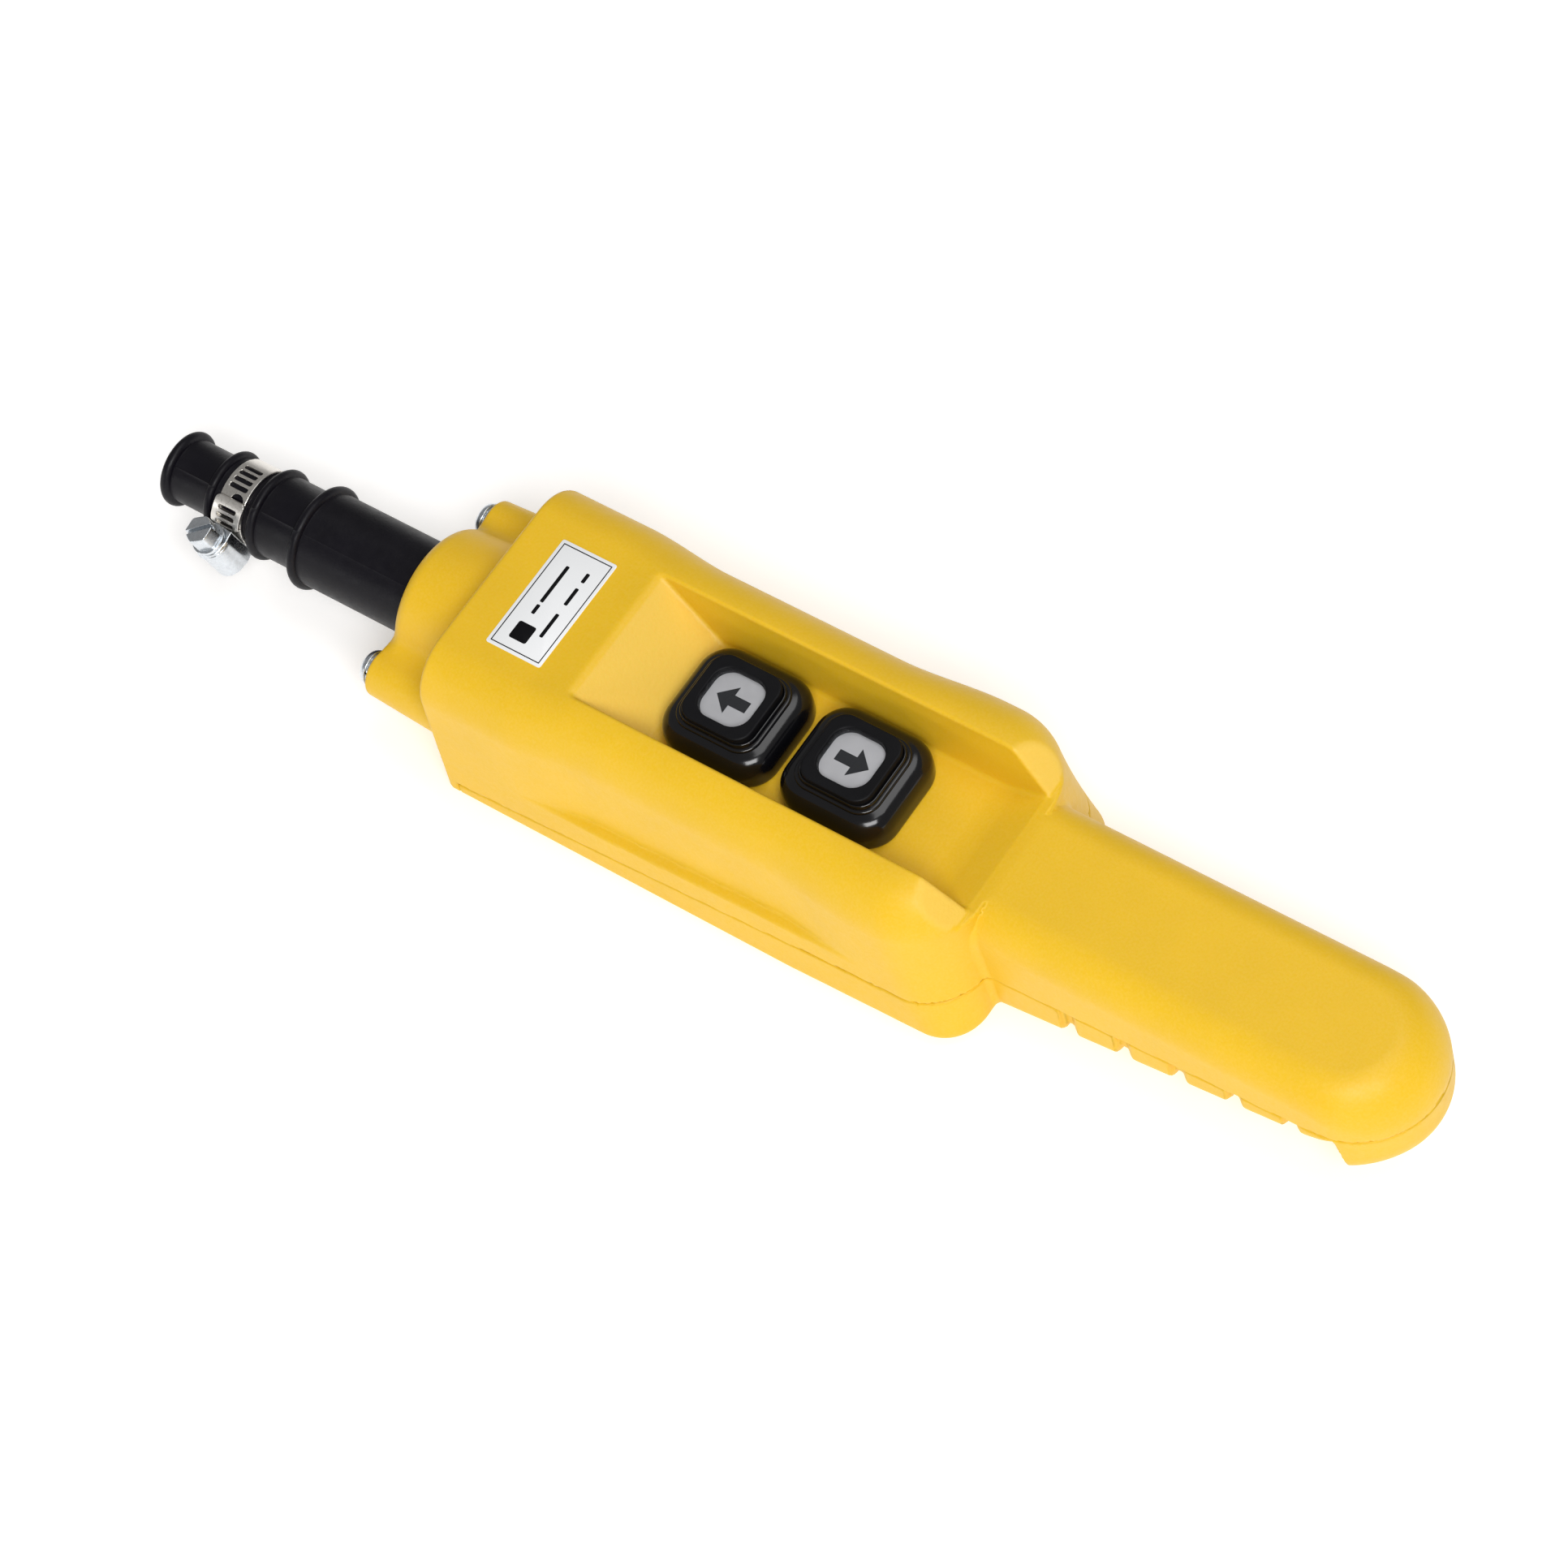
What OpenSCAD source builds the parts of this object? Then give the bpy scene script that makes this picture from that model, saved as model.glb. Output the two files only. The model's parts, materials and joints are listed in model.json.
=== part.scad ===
// Two-button pendant control station, lying on its back.
// Lengths are in millimetres. Inside the modules x = 0 is the cable end of the main body,
// +X runs towards the tip of the grip, y = 0 is the middle and z = 0 is the back.

/* [Main body] */
// Length of the main body, from its cable end to the neck
body_len = 151; // [149:1:153]
// Width of the main body at its back
body_w = 71; // [69:0.5:72]
// Depth of the main body, from its back to the top of the head
body_h = 50; // [49:0.5:51]
// Wall thickness of the moulded shells
wall = 3; // [2.6:0.1:3.2]
// Slope of the side walls from upright, in degrees
draft = 3.5; // [2:0.5:4]
// Radius along the top edges of the body
shoulder_r = 12; // [10:0.5:13]
// Radius of the body's corners at the neck
neck_r = 20; // [18:1:22]
// Radius of the skirt's corners at the neck
skirt_r = 10; // [9:0.5:12]
// Height of the ledge along the top of the skirt
ledge_z = 20; // [18:0.5:22]
// How far the two guard rails rise above the head
rail_rise = 1; // [0.5:0.25:1.5]

/* [Grip] */
// Distance from the neck to the tip of the grip
grip_len = 108; // [105:1:110]
// Width of the grip
grip_w = 40.5; // [39:0.5:42]
// Depth of the grip's top face below the top of the head
grip_drop = 10; // [9:0.5:11]
// Number of finger notches under the grip
notch_count = 5; // [3:1:5]
// Distance from one finger notch to the next
notch_pitch = 14.9; // [14:0.1:15]

/* [Button recess] */
// Depth of the recess floor below the top of the head
recess_depth = 13.5; // [13:0.25:14]
// Width of the recess at its top
recess_w = 37; // [36:0.5:38]
// Distance from the cable end to the first button
first_button_x = 70.8; // [69:0.2:72]
// Distance between the two buttons
button_pitch = 33.7; // [32.5:0.1:34.5]

/* [Buttons] */
// Width of the rubber boot across the recess
boot_w = 29.5; // [28:0.5:30]
// Length of the rubber boot along the body
boot_l = 31; // [30:0.25:31.5]
// Side of the raised square on the button cap
cap_w = 19.5; // [18:0.5:20]
// Side of the legend window
window_w = 13.7; // [13:0.1:14]
// Depth of the legend window
window_depth = 2.6; // [2.2:0.1:3]
// How far a button travels when it is pressed
travel = 4; // [3:0.5:4]

/* [Cable entry] */
// Height of the cable's axis above the back
cable_z = 20.8; // [20:0.2:21.6]
// How far the entry cap stands out from the body
cap_len = 24; // [23:0.5:25]
// Length of the sleeve beyond the entry cap
sleeve_len = 81; // [79:0.5:83]
// Radius of the sleeve where it leaves the cap
sleeve_r = 12.3; // [12:0.1:12.6]
// Radius of the cable that the sleeve grips
cable_r = 6.5; // [6:0.1:6.8]

/* [Hidden] */
$fn = 64;
fine = 96;
gap = 0.3;          // clearance between parts that only sit near each other
run = 0.05;         // running clearance on a radius

// Places along the body
up_x = first_button_x;
down_x = first_button_x + button_pitch;
grip_tip_x = body_len + grip_len;
sleeve_end_x = -cap_len - sleeve_len;
centre_x = (grip_tip_x + sleeve_end_x) / 2;

// The joint between the two shells slopes up towards the tip
seam_z = 5;
seam_slope = 4.6;
gasket_t = 1.6;
gasket_inset = 1.8;
end_wall = 3.5;
foot_edge_r = 3.2;
least_r = 0.8;
lift_len = 50;
lift_slope = 3.2;

// Heights of the recess, the grip and the button parts
grip_top = body_h - grip_drop;
under_z = 3.5;
under_slope = 9.6;
notch_x = 169.3;
notch_w = 4.4;
notch_depth = 2;
grip_edge_r = 9;
nose_r = 12;
nose_x = grip_tip_x - grip_w / 2;
pommel_x = grip_tip_x - 17.5;
pommel_z = 9;
pommel_step = 2.5;
grip_hollow_x = grip_tip_x - 18;
floor_z = body_h - recess_depth;
floor_t = 3;
floor_under = floor_z - floor_t;
cap_top = body_h - 1.3;
boot_top = cap_top - 2.9;
// The boot's steps: how much narrower than its base, the corner radius and the top of each
boot_steps = [[0, 8, floor_z + 4.5], [2, 7.5, boot_top - 2], [6, 6, boot_top]];
cap_corner_r = 4.3;
legend_t = 0.6;
lens_drop = 0.5;
window_r = 4.5;
stem_r = 4;
bush_len = 5;
bush_r = stem_r + 2.5;
bush_end = floor_under - bush_len;
clip_t = 0.8;
clip_r = stem_r + 1.6;
clip_groove = 0.5;
clip_z = bush_end - 0.1 - clip_t;
stem_end = clip_z - 0.6;
plunger_r = 3;

// Ends of the recess
ramp_x = 38.4;
rail_start_x = ramp_x - 6;
ramp_foot_x = 55;
rise_x = 135.5;
deck_x = 146.5;
deck_end_x = deck_x + 12;
cut_x = 136.5;
scoop_x = 88;
scoop_r = 620;
scoop_depth = 2;
scoop_inset = 1.6;
recess_floor_w = recess_w - 5;
recess_roof = body_h + 20;

// Contact block and its contents
block_l = 26;
block_w = 30;
block_z = 9;
block_top = stem_end - travel - 0.5;
block_wall = 2;
block_floor = 1;
bridge_z = 19.2;
bridge_l = 18;
bridge_w = 3.6;
bridge_t = 0.8;
contact_r = 1.6;
contact_y = bridge_l / 2 - 2;
contact_t = 1;
strip_t = 1;
strip_w = 5;
contact_gap = 0.1;
strip_z = bridge_z - travel - 2 * contact_t - contact_gap - strip_t;
strip_start = bridge_l / 2 - 4.5;
strip_end = 23;
terminal_y = strip_end - 4;
terminal_r = 1.5;
terminal_len = 2.8;
spring_r = 2.6;
spring_t = 0.7;
spring_z = block_z + block_floor;
flange_t = 1;
flange_r = plunger_r + 1.4;
plunger_z = bridge_z - flange_t - 0.4;

// M3 screws for the inner parts
small_screw_r = 1.5;
small_screw_len = 9;
small_hole_r = 1.7;
small_head_r = 2.8;
small_head_t = 1.8;

// Carrier plate and the posts that hold it
carrier_t = 2.5;
carrier_l = 82;
carrier_w = 34;
post_r = 4;
carrier_posts = [for (x = [51, 124.5], y = [-12, 12]) [x, y]];

// Screws through the back
cover_posts = [for (p = [[13, 25.5], [141, 21]], s = [-1, 1]) [p[0], s * p[1]]];
cover_post_r = 4.5;
cover_screw_r = 2;
cover_head_r = 3.8;
cover_head_depth = 3;
cover_head_t = 2.4;
cover_screw_len = 14;

// Entry cap and its screws
collar_r = 19;
collar_root_r = 20.5;
collar_edge_r = 4;
ear_y = 24;
ear_r = 6.2;
ear_root_r = 7.4;
web_t = 9;
cap_screw_r = 2.5;
cap_head_r = 4.75;
cap_head_t = 3.2;
washer_t = 1.3;
washer_r = 4.3;
insert_r = 3.8;
insert_len = 10;
insert_boss_r = insert_r + 2.2;
web_setback = 4;

// Cord grip inside the head
grip_strap_x = 24;
strap_t = 1.5;
cord_post_y = 13;

// The sleeve steps down at each of its rings: their places, outwards from the cap's root,
// their thicknesses, and the sleeve's radius before each
ring_pitch = 14.6;
ring_t = [1.25, 1.15, 1.1, 1.4];
ring_x = [for (i = [0:3]) cap_len + sleeve_len - ring_t[3] - (3 - i) * ring_pitch];
step_r = [sleeve_r, sleeve_r - 1.6, sleeve_r - 2.8, sleeve_r - 3.9];
sleeve_bore_r = 9;
bore_step = 59;
sleeve_foot_t = 2.5;
sleeve_foot_r = sleeve_r + 2;
band_x = -82;
band_w = 7.9;
band_t = 0.7;
band_seat_r = step_r[2];
band_r = band_seat_r + band_t;
slot_count = 4;
slot_step = 11.5;
slot_start = 68;
slot_l = 5.4;
slot_w = 1.2;
tail_from = 128;
tail_to = 158;
tail_extra_w = 1.4;
housing_angle = 190;
housing_skew = 10;
housing_shift = -0.5;
worm_r = 3.2;
worm_len = 11;
housing_r = worm_r + 1.2;
worm_out = band_r + 0.05 + housing_r;
hex_w = 7;
hex_len = 5;

label_l = 32;
label_w = 16;
label_x = 18.9;
label_t = 0.2;

yellow = "#f4c83a";
black = "#17171a";
steel = "#c9ccd0";
brass = "#c9a24a";

// ---------------------------------------------------------------- helpers

// Puts the drawing frame's x = 0 at its place in the part's own frame
module placed() {
    translate([-centre_x, 0, 0]) children();
}

// Extrudes a drawing of the (y, z) plane along x
module along_x(x0, x1) {
    translate([x0, 0, 0]) rotate([90, 0, 90]) linear_extrude(x1 - x0) children();
}

// Extrudes a drawing of the (x, z) plane along y
module along_y(y0, y1) {
    translate([0, y1, 0]) rotate([90, 0, 0]) linear_extrude(y1 - y0) children();
}

// Square with round corners
module soft_square(w, h, r) {
    square([w - 2 * r, h], center = true);
    square([w, h - 2 * r], center = true);
    for (sx = [-1, 1], sy = [-1, 1])
        translate([sx * (w / 2 - r), sy * (h / 2 - r)]) circle(r);
}

// A block with round upright corners, standing on z0
module soft_block(w, h, r, z0, z1) {
    translate([0, 0, z0]) linear_extrude(z1 - z0) soft_square(w, h, r);
}

// An upright rod
module rod(r, z0, z1) {
    translate([0, 0, z0]) cylinder(r = r, h = z1 - z0);
}

// A rod along x
module rod_x(r, x0, x1) {
    translate([x0, 0, 0]) rotate([0, 90, 0]) cylinder(r = r, h = x1 - x0);
}

// A cross slot for a screwdriver, cut into a head whose face is z = 0
module cross_slot(w, depth) {
    for (a = [0, 90])
        rotate([0, 0, a]) translate([-w / 2, -0.6, -depth]) cube([w, 1.2, depth + 1]);
}

// A pan-head screw that points down from its seat at z = 0
module pan_screw(r, length, head_r, head_t) {
    difference() {
        union() {
            rod(head_r, 0, head_t * 0.55);
            translate([0, 0, head_t * 0.55]) cylinder(r1 = head_r, r2 = head_r * 0.72, h = head_t * 0.45);
            rod(r, -length, 0.1);
        }
        translate([0, 0, head_t]) cross_slot(head_r * 1.25, head_t * 0.6);
    }
}

// ---------------------------------------------------------------- outer form

// One half of the body's section, from its middle line outwards, shrunk by d
module side_profile(d, top) {
    top_r = shoulder_r - d;
    foot_r = max(foot_edge_r - d, least_r);
    top_z = top - d - top_r;
    foot_z = d + foot_r;
    edge = (body_w / 2 - d) * cos(draft);
    top_u = (edge - top_r - top_z * sin(draft)) / cos(draft);
    foot_u = (edge - foot_r - foot_z * sin(draft)) / cos(draft);
    polygon([[0, d], [foot_u, d], [foot_u + foot_r * cos(draft), foot_z + foot_r * sin(draft)],
             [top_u + top_r * cos(draft), top_z + top_r * sin(draft)], [top_u, top - d], [0, top - d]]);
    translate([top_u, top_z]) circle(top_r);
    translate([foot_u, foot_z]) circle(foot_r);
}

// Plan of a block whose corners at the neck have radius r, shrunk by d
module neck_plan(d, r) {
    half_w = body_w / 2;
    corner_x = body_len - r;
    translate([d, d - half_w]) square([corner_x - d, body_w - 2 * d]);
    translate([corner_x - 1, r - half_w]) square([1 + r - d, body_w - 2 * r]);
    for (s = [-1, 1]) translate([corner_x, s * (half_w - r)]) circle(r - d, $fn = fine);
}

// A block with the body's section, whose corners at the neck have radius r
module body_block(d, r) {
    intersection() {
        along_x(-1, body_len + 1) for (s = [0, 1]) mirror([s, 0]) side_profile(d, body_h + rail_rise);
        translate([0, 0, -1]) linear_extrude(body_h + 10) neck_plan(d, r);
    }
}

// The back lifts off the table towards the neck
module back_lift(d) {
    translate([body_len - lift_len, 0, d]) rotate([0, -lift_slope, 0])
        translate([0, -body_w, -20]) cube([body_len, 2 * body_w, 20]);
}

// The body: a skirt below the ledge, and a slimmer upper part with the head and the two rails
module body_form(d) {
    ledge = ledge_z - d;
    difference() {
        union() {
            difference() {
                body_block(d, neck_r);
                translate([-10, -body_w, ledge - body_h]) cube([2 * body_len, 2 * body_w, body_h]);
                translate([-10, -body_w, body_h - d]) cube([10 + rail_start_x, 2 * body_w, body_h]);
                rail_cuts(d);
                side_scoops(d);
            }
            difference() {
                body_block(d, skirt_r);
                translate([-10, -body_w, ledge]) cube([2 * body_len, 2 * body_w, body_h]);
            }
        }
        back_lift(d);
    }
}

// The grip seen from the side
module grip_side(d) {
    x0 = body_len - 30;
    end_x = grip_tip_x - nose_r;
    r = nose_r - d;
    step_z = under_z + (pommel_x - body_len) * tan(under_slope);
    polygon([[x0, grip_top - d], [end_x, grip_top - d], [end_x, pommel_z + d],
             [pommel_x + pommel_step + d, pommel_z + d], [pommel_x, step_z + d],
             [body_len, under_z + d], [x0, under_z + d]]);
    translate([end_x, pommel_z + nose_r]) square([r, grip_top - pommel_z - 2 * nose_r]);
    for (z = [pommel_z + nose_r, grip_top - nose_r]) translate([end_x, z]) circle(r);
}

// Half of the grip's section, from its middle line outwards
module grip_half_section(d) {
    r = grip_edge_r - d;
    half_w = grip_w / 2 - d;
    square([half_w, grip_top - grip_edge_r]);
    square([half_w - r, grip_top - d]);
    translate([half_w - r, grip_top - grip_edge_r]) intersection() {
        circle(r);
        square(r);
    }
}

module grip_form(d) {
    intersection() {
        along_y(-grip_w, grip_w) grip_side(d);
        union() {
            for (s = [0, 1]) mirror([0, s, 0]) along_x(body_len - 30, nose_x) grip_half_section(d);
            translate([nose_x, 0, 0]) rotate([0, 0, -90])
                rotate_extrude(angle = 180, $fn = fine) grip_half_section(d);
        }
    }
}

// Grooves across the underside of the grip for the fingers, d deeper than the outside ones
module finger_notches(d) {
    cutter_h = 8;
    for (i = [0:notch_count - 1]) {
        x = notch_x + i * notch_pitch;
        translate([x, 0, under_z + (x - body_len) * tan(under_slope)]) rotate([0, -under_slope, 0])
            translate([-d, -grip_w, d - cutter_h])
                cube([notch_w + 2 * d, 2 * grip_w, cutter_h + notch_depth]);
    }
}

// Shallow scoops that slim the body's sides for the hand, above the skirt
module side_scoops(d) {
    face = body_w / 2 - scoop_inset - scoop_depth - d;
    for (s = [-1, 1])
        translate([scoop_x, s * (face + scoop_r), ledge_z - d])
            cylinder(r = scoop_r, h = body_h, $fn = 720);
}

// Sloped cuts across the ends of the guard rails, and the level deck beyond them
module rail_cuts(d) {
    clearance = 5;
    rail_top = body_h + rail_rise + clearance;
    slope = (body_h + rail_rise - grip_top) / (deck_x - cut_x);
    along_y(-body_w, body_w)
        polygon([[cut_x - clearance / slope - d, rail_top], [deck_x - d, grip_top - d],
                 [body_len + 10, grip_top - d], [body_len + 10, rail_top]]);
}

module outer_form() {
    difference() {
        union() {
            body_form(0);
            grip_form(0);
        }
        finger_notches(0);
    }
}

module inner_form() {
    difference() {
        union() {
            body_form(wall);
            intersection() {
                grip_form(wall);
                translate([0, -50, 0]) cube([grip_hollow_x, 100, 60]);
            }
        }
        finger_notches(wall);
    }
}

// The pocket for the buttons, grown by d on its sides and floor
module recess(d) {
    lead = (recess_roof - floor_z) * (ramp_foot_x - ramp_x) / recess_depth;
    intersection() {
        along_y(-body_w, body_w)
            polygon([[ramp_foot_x - lead - d, recess_roof], [ramp_foot_x - d, floor_z - d],
                     [rise_x + d, floor_z - d], [deck_x + d, grip_top - d],
                     [deck_end_x, grip_top - d], [deck_end_x, recess_roof]]);
        along_x(0, deck_x + 0.01 + d)
            polygon([[-recess_floor_w / 2 - d, floor_z - d], [recess_floor_w / 2 + d, floor_z - d],
                     [recess_w / 2 + d, body_h - d / 2], [recess_w / 2 + d, recess_roof],
                     [-recess_w / 2 - d, recess_roof], [-recess_w / 2 - d, body_h - d / 2]]);
    }
}

// Everything below the sloping joint between the shells
module below_seam() {
    translate([0, 0, seam_z]) rotate([0, -seam_slope, 0])
        translate([-60, -60, -90]) cube([400, 120, 90]);
}

// ---------------------------------------------------------------- shells

module front_shell() placed() color(yellow) {
    difference() {
        union() {
            difference() {
                outer_form();
                inner_form();
            }
            intersection() {
                outer_form();
                recess(floor_t);
            }
            intersection() {
                inner_form();
                shell_posts();
            }
        }
        recess(0);
        for (x = [up_x, down_x]) translate([x, 0, 0]) rod(stem_r + run, bush_end - 1, floor_z + 1);
        translate([0, 0, cable_z]) rod_x(sleeve_r + run, -1, end_wall + 1);
        for (s = [-1, 1]) translate([0, s * ear_y, cable_z]) rod_x(insert_r, -1, insert_len);
        for (p = cover_posts) translate([p[0], p[1], 0]) rod(cover_screw_r, -1, cover_screw_len + 6);
        for (p = carrier_posts)
            translate([p[0], p[1], 0]) rod(small_screw_r, block_z - 1, block_z + small_screw_len);
        for (s = [-1, 1])
            translate([grip_strap_x, s * cord_post_y, 0])
                rod(small_screw_r, cable_z - 1, cable_z + small_screw_len);
        difference() {
            below_seam();
            translate([-1, -50, -1]) cube([1 + end_wall, 100, 20]);
        }
        gasket_ring();
    }
}

// Bosses inside the front shell
module shell_posts() {
    for (p = cover_posts) translate([p[0], p[1], 0]) rod(cover_post_r, 0, body_h);
    for (p = carrier_posts) translate([p[0], p[1], 0]) rod(post_r, block_z, body_h);
    for (s = [-1, 1]) translate([grip_strap_x, s * cord_post_y, 0]) rod(post_r, cable_z, body_h);
    for (s = [-1, 1]) translate([0, s * ear_y, cable_z]) rod_x(insert_boss_r, 0, insert_len + 2);
    for (x = [up_x, down_x]) translate([x, 0, 0]) rod(bush_r, bush_end, floor_z);
}

// The rubber cord that seals the joint between the shells
module gasket_ring() {
    translate([0, 0, seam_z]) rotate([0, -seam_slope, 0]) translate([0, 0, -gasket_t / 2])
        linear_extrude(gasket_t) difference() {
            gasket_outline(wall * 0.35);
            gasket_outline(wall * 0.75);
        }
}

// Outline of the shells at the joint, shrunk by d
module gasket_outline(d) {
    w = body_w - gasket_inset;
    corner_x = body_len - skirt_r;
    translate([end_wall + 1 + d, d - w / 2]) square([corner_x - end_wall - 1 - d, w - 2 * d]);
    for (s = [-1, 1]) translate([corner_x, s * (w / 2 - skirt_r)]) circle(skirt_r - d, $fn = fine);
    translate([corner_x - 1, skirt_r - w / 2]) square([skirt_r + 1 - d, w - 2 * skirt_r]);
}

module rear_cover() placed() color(yellow) {
    difference() {
        intersection() {
            union() {
                difference() {
                    outer_form();
                    inner_form();
                }
                intersection() {
                    inner_form();
                    for (p = cover_posts)
                        translate([p[0], p[1], 0]) rod(cover_post_r + 1.5, 0, cover_screw_len);
                }
            }
            below_seam();
            translate([end_wall, -50, -1]) cube([400, 100, 60]);
        }
        for (p = cover_posts) translate([p[0], p[1], 0]) {
            rod(cover_screw_r + 0.2, -1, 40);
            rod(cover_head_r + 0.3, -1, cover_head_depth);
        }
        gasket_ring();
    }
}

module cover_gasket() placed() color(black) gasket_ring();

module cover_screws() placed() color(steel)
    for (p = cover_posts)
        translate([p[0], p[1], cover_head_depth]) mirror([0, 0, 1])
            pan_screw(cover_screw_r, cover_screw_len, cover_head_r, cover_head_t);

// ---------------------------------------------------------------- cable entry

// The collar's profile as radius against distance outwards, with a rounded front edge
module collar_profile() {
    translate([0, 0]) polygon([[0, 0], [collar_root_r, 0], [collar_r, cap_len - collar_edge_r],
                               [collar_r - collar_edge_r, cap_len], [0, cap_len]]);
    translate([collar_r - collar_edge_r, cap_len - collar_edge_r]) intersection() {
        circle(collar_edge_r);
        square(collar_edge_r);
    }
}

module cable_entry_cap() placed() color(yellow) translate([0, 0, cable_z]) difference() {
    union() {
        rotate([0, -90, 0]) rotate_extrude($fn = fine) collar_profile();
        for (s = [-1, 1]) {
            translate([-cap_len, s * ear_y, 0]) rotate([0, 90, 0])
                cylinder(r1 = ear_r, r2 = ear_root_r, h = cap_len);
            translate([web_setback - cap_len, min(0, s * ear_y), -web_t / 2])
                cube([cap_len - web_setback, ear_y, web_t]);
        }
    }
    rod_x(sleeve_r + run, -cap_len - 1, 1);
    for (s = [-1, 1]) translate([0, s * ear_y, 0]) rod_x(cap_screw_r + 0.3, -cap_len - 1, 1);
}

module cap_screws() placed() color(steel)
    for (s = [-1, 1])
        translate([-cap_len - washer_t, s * ear_y, cable_z]) rotate([0, -90, 0]) rotate([0, 0, 30])
            pan_screw(cap_screw_r, cap_len + washer_t + insert_len - 1, cap_head_r, cap_head_t);

// Split spring washers, each with its cut turned outwards
module cap_spring_washers() placed() color(steel)
    for (s = [-1, 1])
        translate([-cap_len - washer_t, s * ear_y, cable_z]) rotate([0, 90, 0])
            difference() {
                cylinder(r = washer_r, h = washer_t);
                translate([0, 0, -1]) cylinder(r = cap_screw_r + 0.1, h = washer_t + 2);
                rotate([0, 0, s * 60]) translate([0, -0.4, -1]) cube([washer_r + 1, 0.8, washer_t + 2]);
            }

module cap_inserts() placed() color(brass)
    for (s = [-1, 1])
        translate([0, s * ear_y, cable_z]) difference() {
            rod_x(insert_r, 0, insert_len);
            rod_x(cap_screw_r, -1, insert_len + 1);
        }

// Profile of the sleeve as radius against distance outwards, revolved about the cable's axis
module sleeve_profile() {
    starts = [-end_wall, ring_x[0], ring_x[1], ring_x[2]];
    foot = -end_wall - sleeve_foot_t;
    difference() {
        union() {
            for (i = [0:3]) {
                translate([0, starts[i]]) square([step_r[i], ring_x[i] - starts[i]]);
                translate([step_r[i] + 0.2, ring_x[i]]) circle(ring_t[i], $fn = 32);
            }
            translate([0, foot]) square([sleeve_foot_r, sleeve_foot_t]);
        }
        translate([-1, foot - 1]) square([1 + sleeve_bore_r, bore_step - foot + 1]);
        translate([-1, bore_step - 1]) square([1 + cable_r, ring_x[3]]);
    }
}

module cable_sleeve() placed() color(black)
    translate([0, 0, cable_z]) rotate([0, -90, 0]) rotate_extrude($fn = fine) sleeve_profile();

// ---------------------------------------------------------------- hose clamp

// Turns its children about the cable's axis, with 0 degrees pointing to +Y and 90 to +Z
module around_cable(angle) {
    translate([band_x, 0, cable_z]) rotate([angle, 0, 0]) children();
}

// A short length of a ring of strip, between two angles
module band_arc(r, from, to, w) {
    translate([band_x - w / 2, 0, cable_z]) rotate([from, 0, 0]) rotate([90, 0, 90])
        rotate_extrude(angle = to - from, $fn = fine) translate([r, 0]) square([band_t, w]);
}

// The band closes on itself, and its free tail lies over it before it runs into the housing
module clamp_band() placed() color(steel) {
    difference() {
        union() {
            band_arc(band_seat_r, 0, 360, band_w);
            band_arc(band_r, tail_from, tail_to, band_w + tail_extra_w);
        }
        for (i = [0:slot_count - 1])
            around_cable(slot_start + i * slot_step)
                translate([-slot_l / 2, band_seat_r - 1, -slot_w / 2]) cube([slot_l, band_t + 2, slot_w]);
    }
}

// The middle of the worm, with the worm's head end along -Z
module at_worm() {
    around_cable(housing_angle) translate([housing_shift, worm_out, 0]) rotate([0, housing_skew, 0])
        children();
}

module clamp_housing() placed() color(steel)
    at_worm() difference() {
        union() {
            translate([0, 0, -worm_len / 2]) cylinder(r = housing_r, h = worm_len);
            translate([-band_w / 2 - 0.5, -housing_r, -worm_len / 2])
                cube([band_w + 1, housing_r, worm_len]);
        }
        translate([0, 0, -worm_len / 2 - 1]) cylinder(r = worm_r + run, h = worm_len + 2);
    }

module clamp_screw() placed() color(steel)
    at_worm() mirror([0, 0, 1]) difference() {
        union() {
            rod(worm_r, -worm_len / 2, worm_len / 2 + 1);
            rod(worm_r + 1.2, worm_len / 2 + 0.2, worm_len / 2 + 1.2);
            translate([0, 0, worm_len / 2 + 1.2]) cylinder(r = hex_w / sqrt(3), h = hex_len, $fn = 6);
        }
        translate([-hex_w, -0.5, worm_len / 2 + hex_len - 0.4]) cube([2 * hex_w, 1, 3]);
    }

// ---------------------------------------------------------------- label and cord grip

module rating_label() placed() color("white")
    translate([label_x, 0, 0]) soft_block(label_w, label_l, 0.5, body_h, body_h + label_t);

module cord_grip_strap() placed() color(steel) {
    strap_l = 10;
    reach = cable_r + 1.5;
    difference() {
        union() {
            for (s = [-1, 1])
                translate([
                    grip_strap_x - strap_l / 2,
                    s > 0 ? reach : -cord_post_y - post_r,
                    cable_z - strap_t])
                    cube([strap_l, cord_post_y + post_r - reach, strap_t]);
            translate([0, 0, cable_z]) intersection() {
                rod_x(reach + strap_t, grip_strap_x - strap_l / 2, grip_strap_x + strap_l / 2);
                translate([0, -20, -30]) cube([60, 40, 30]);
            }
        }
        translate([0, 0, cable_z]) rod_x(reach, 0, 60);
        for (s = [-1, 1]) translate([grip_strap_x, s * cord_post_y, 0]) rod(small_hole_r, 0, 40);
    }
}

module cord_grip_screws() placed() color(steel)
    for (s = [-1, 1])
        translate([grip_strap_x, s * cord_post_y, cable_z - strap_t]) mirror([0, 0, 1])
            pan_screw(small_screw_r, small_screw_len - 1, small_head_r, small_head_t);

// ---------------------------------------------------------------- switch carrier

module switch_carrier() placed() color("#2b2b2e") {
    mid = (up_x + down_x) / 2;
    difference() {
        translate([mid, 0, 0]) soft_block(carrier_l, carrier_w, 3, block_z - carrier_t, block_z);
        for (p = carrier_posts) translate([p[0], p[1], 0]) rod(small_hole_r, 0, 20);
    }
}

module carrier_screws() placed() color(steel)
    for (p = carrier_posts)
        translate([p[0], p[1], block_z - carrier_t]) mirror([0, 0, 1]) 
            pan_screw(small_screw_r, small_screw_len, small_head_r, small_head_t);

// ---------------------------------------------------------------- button parts

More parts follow.
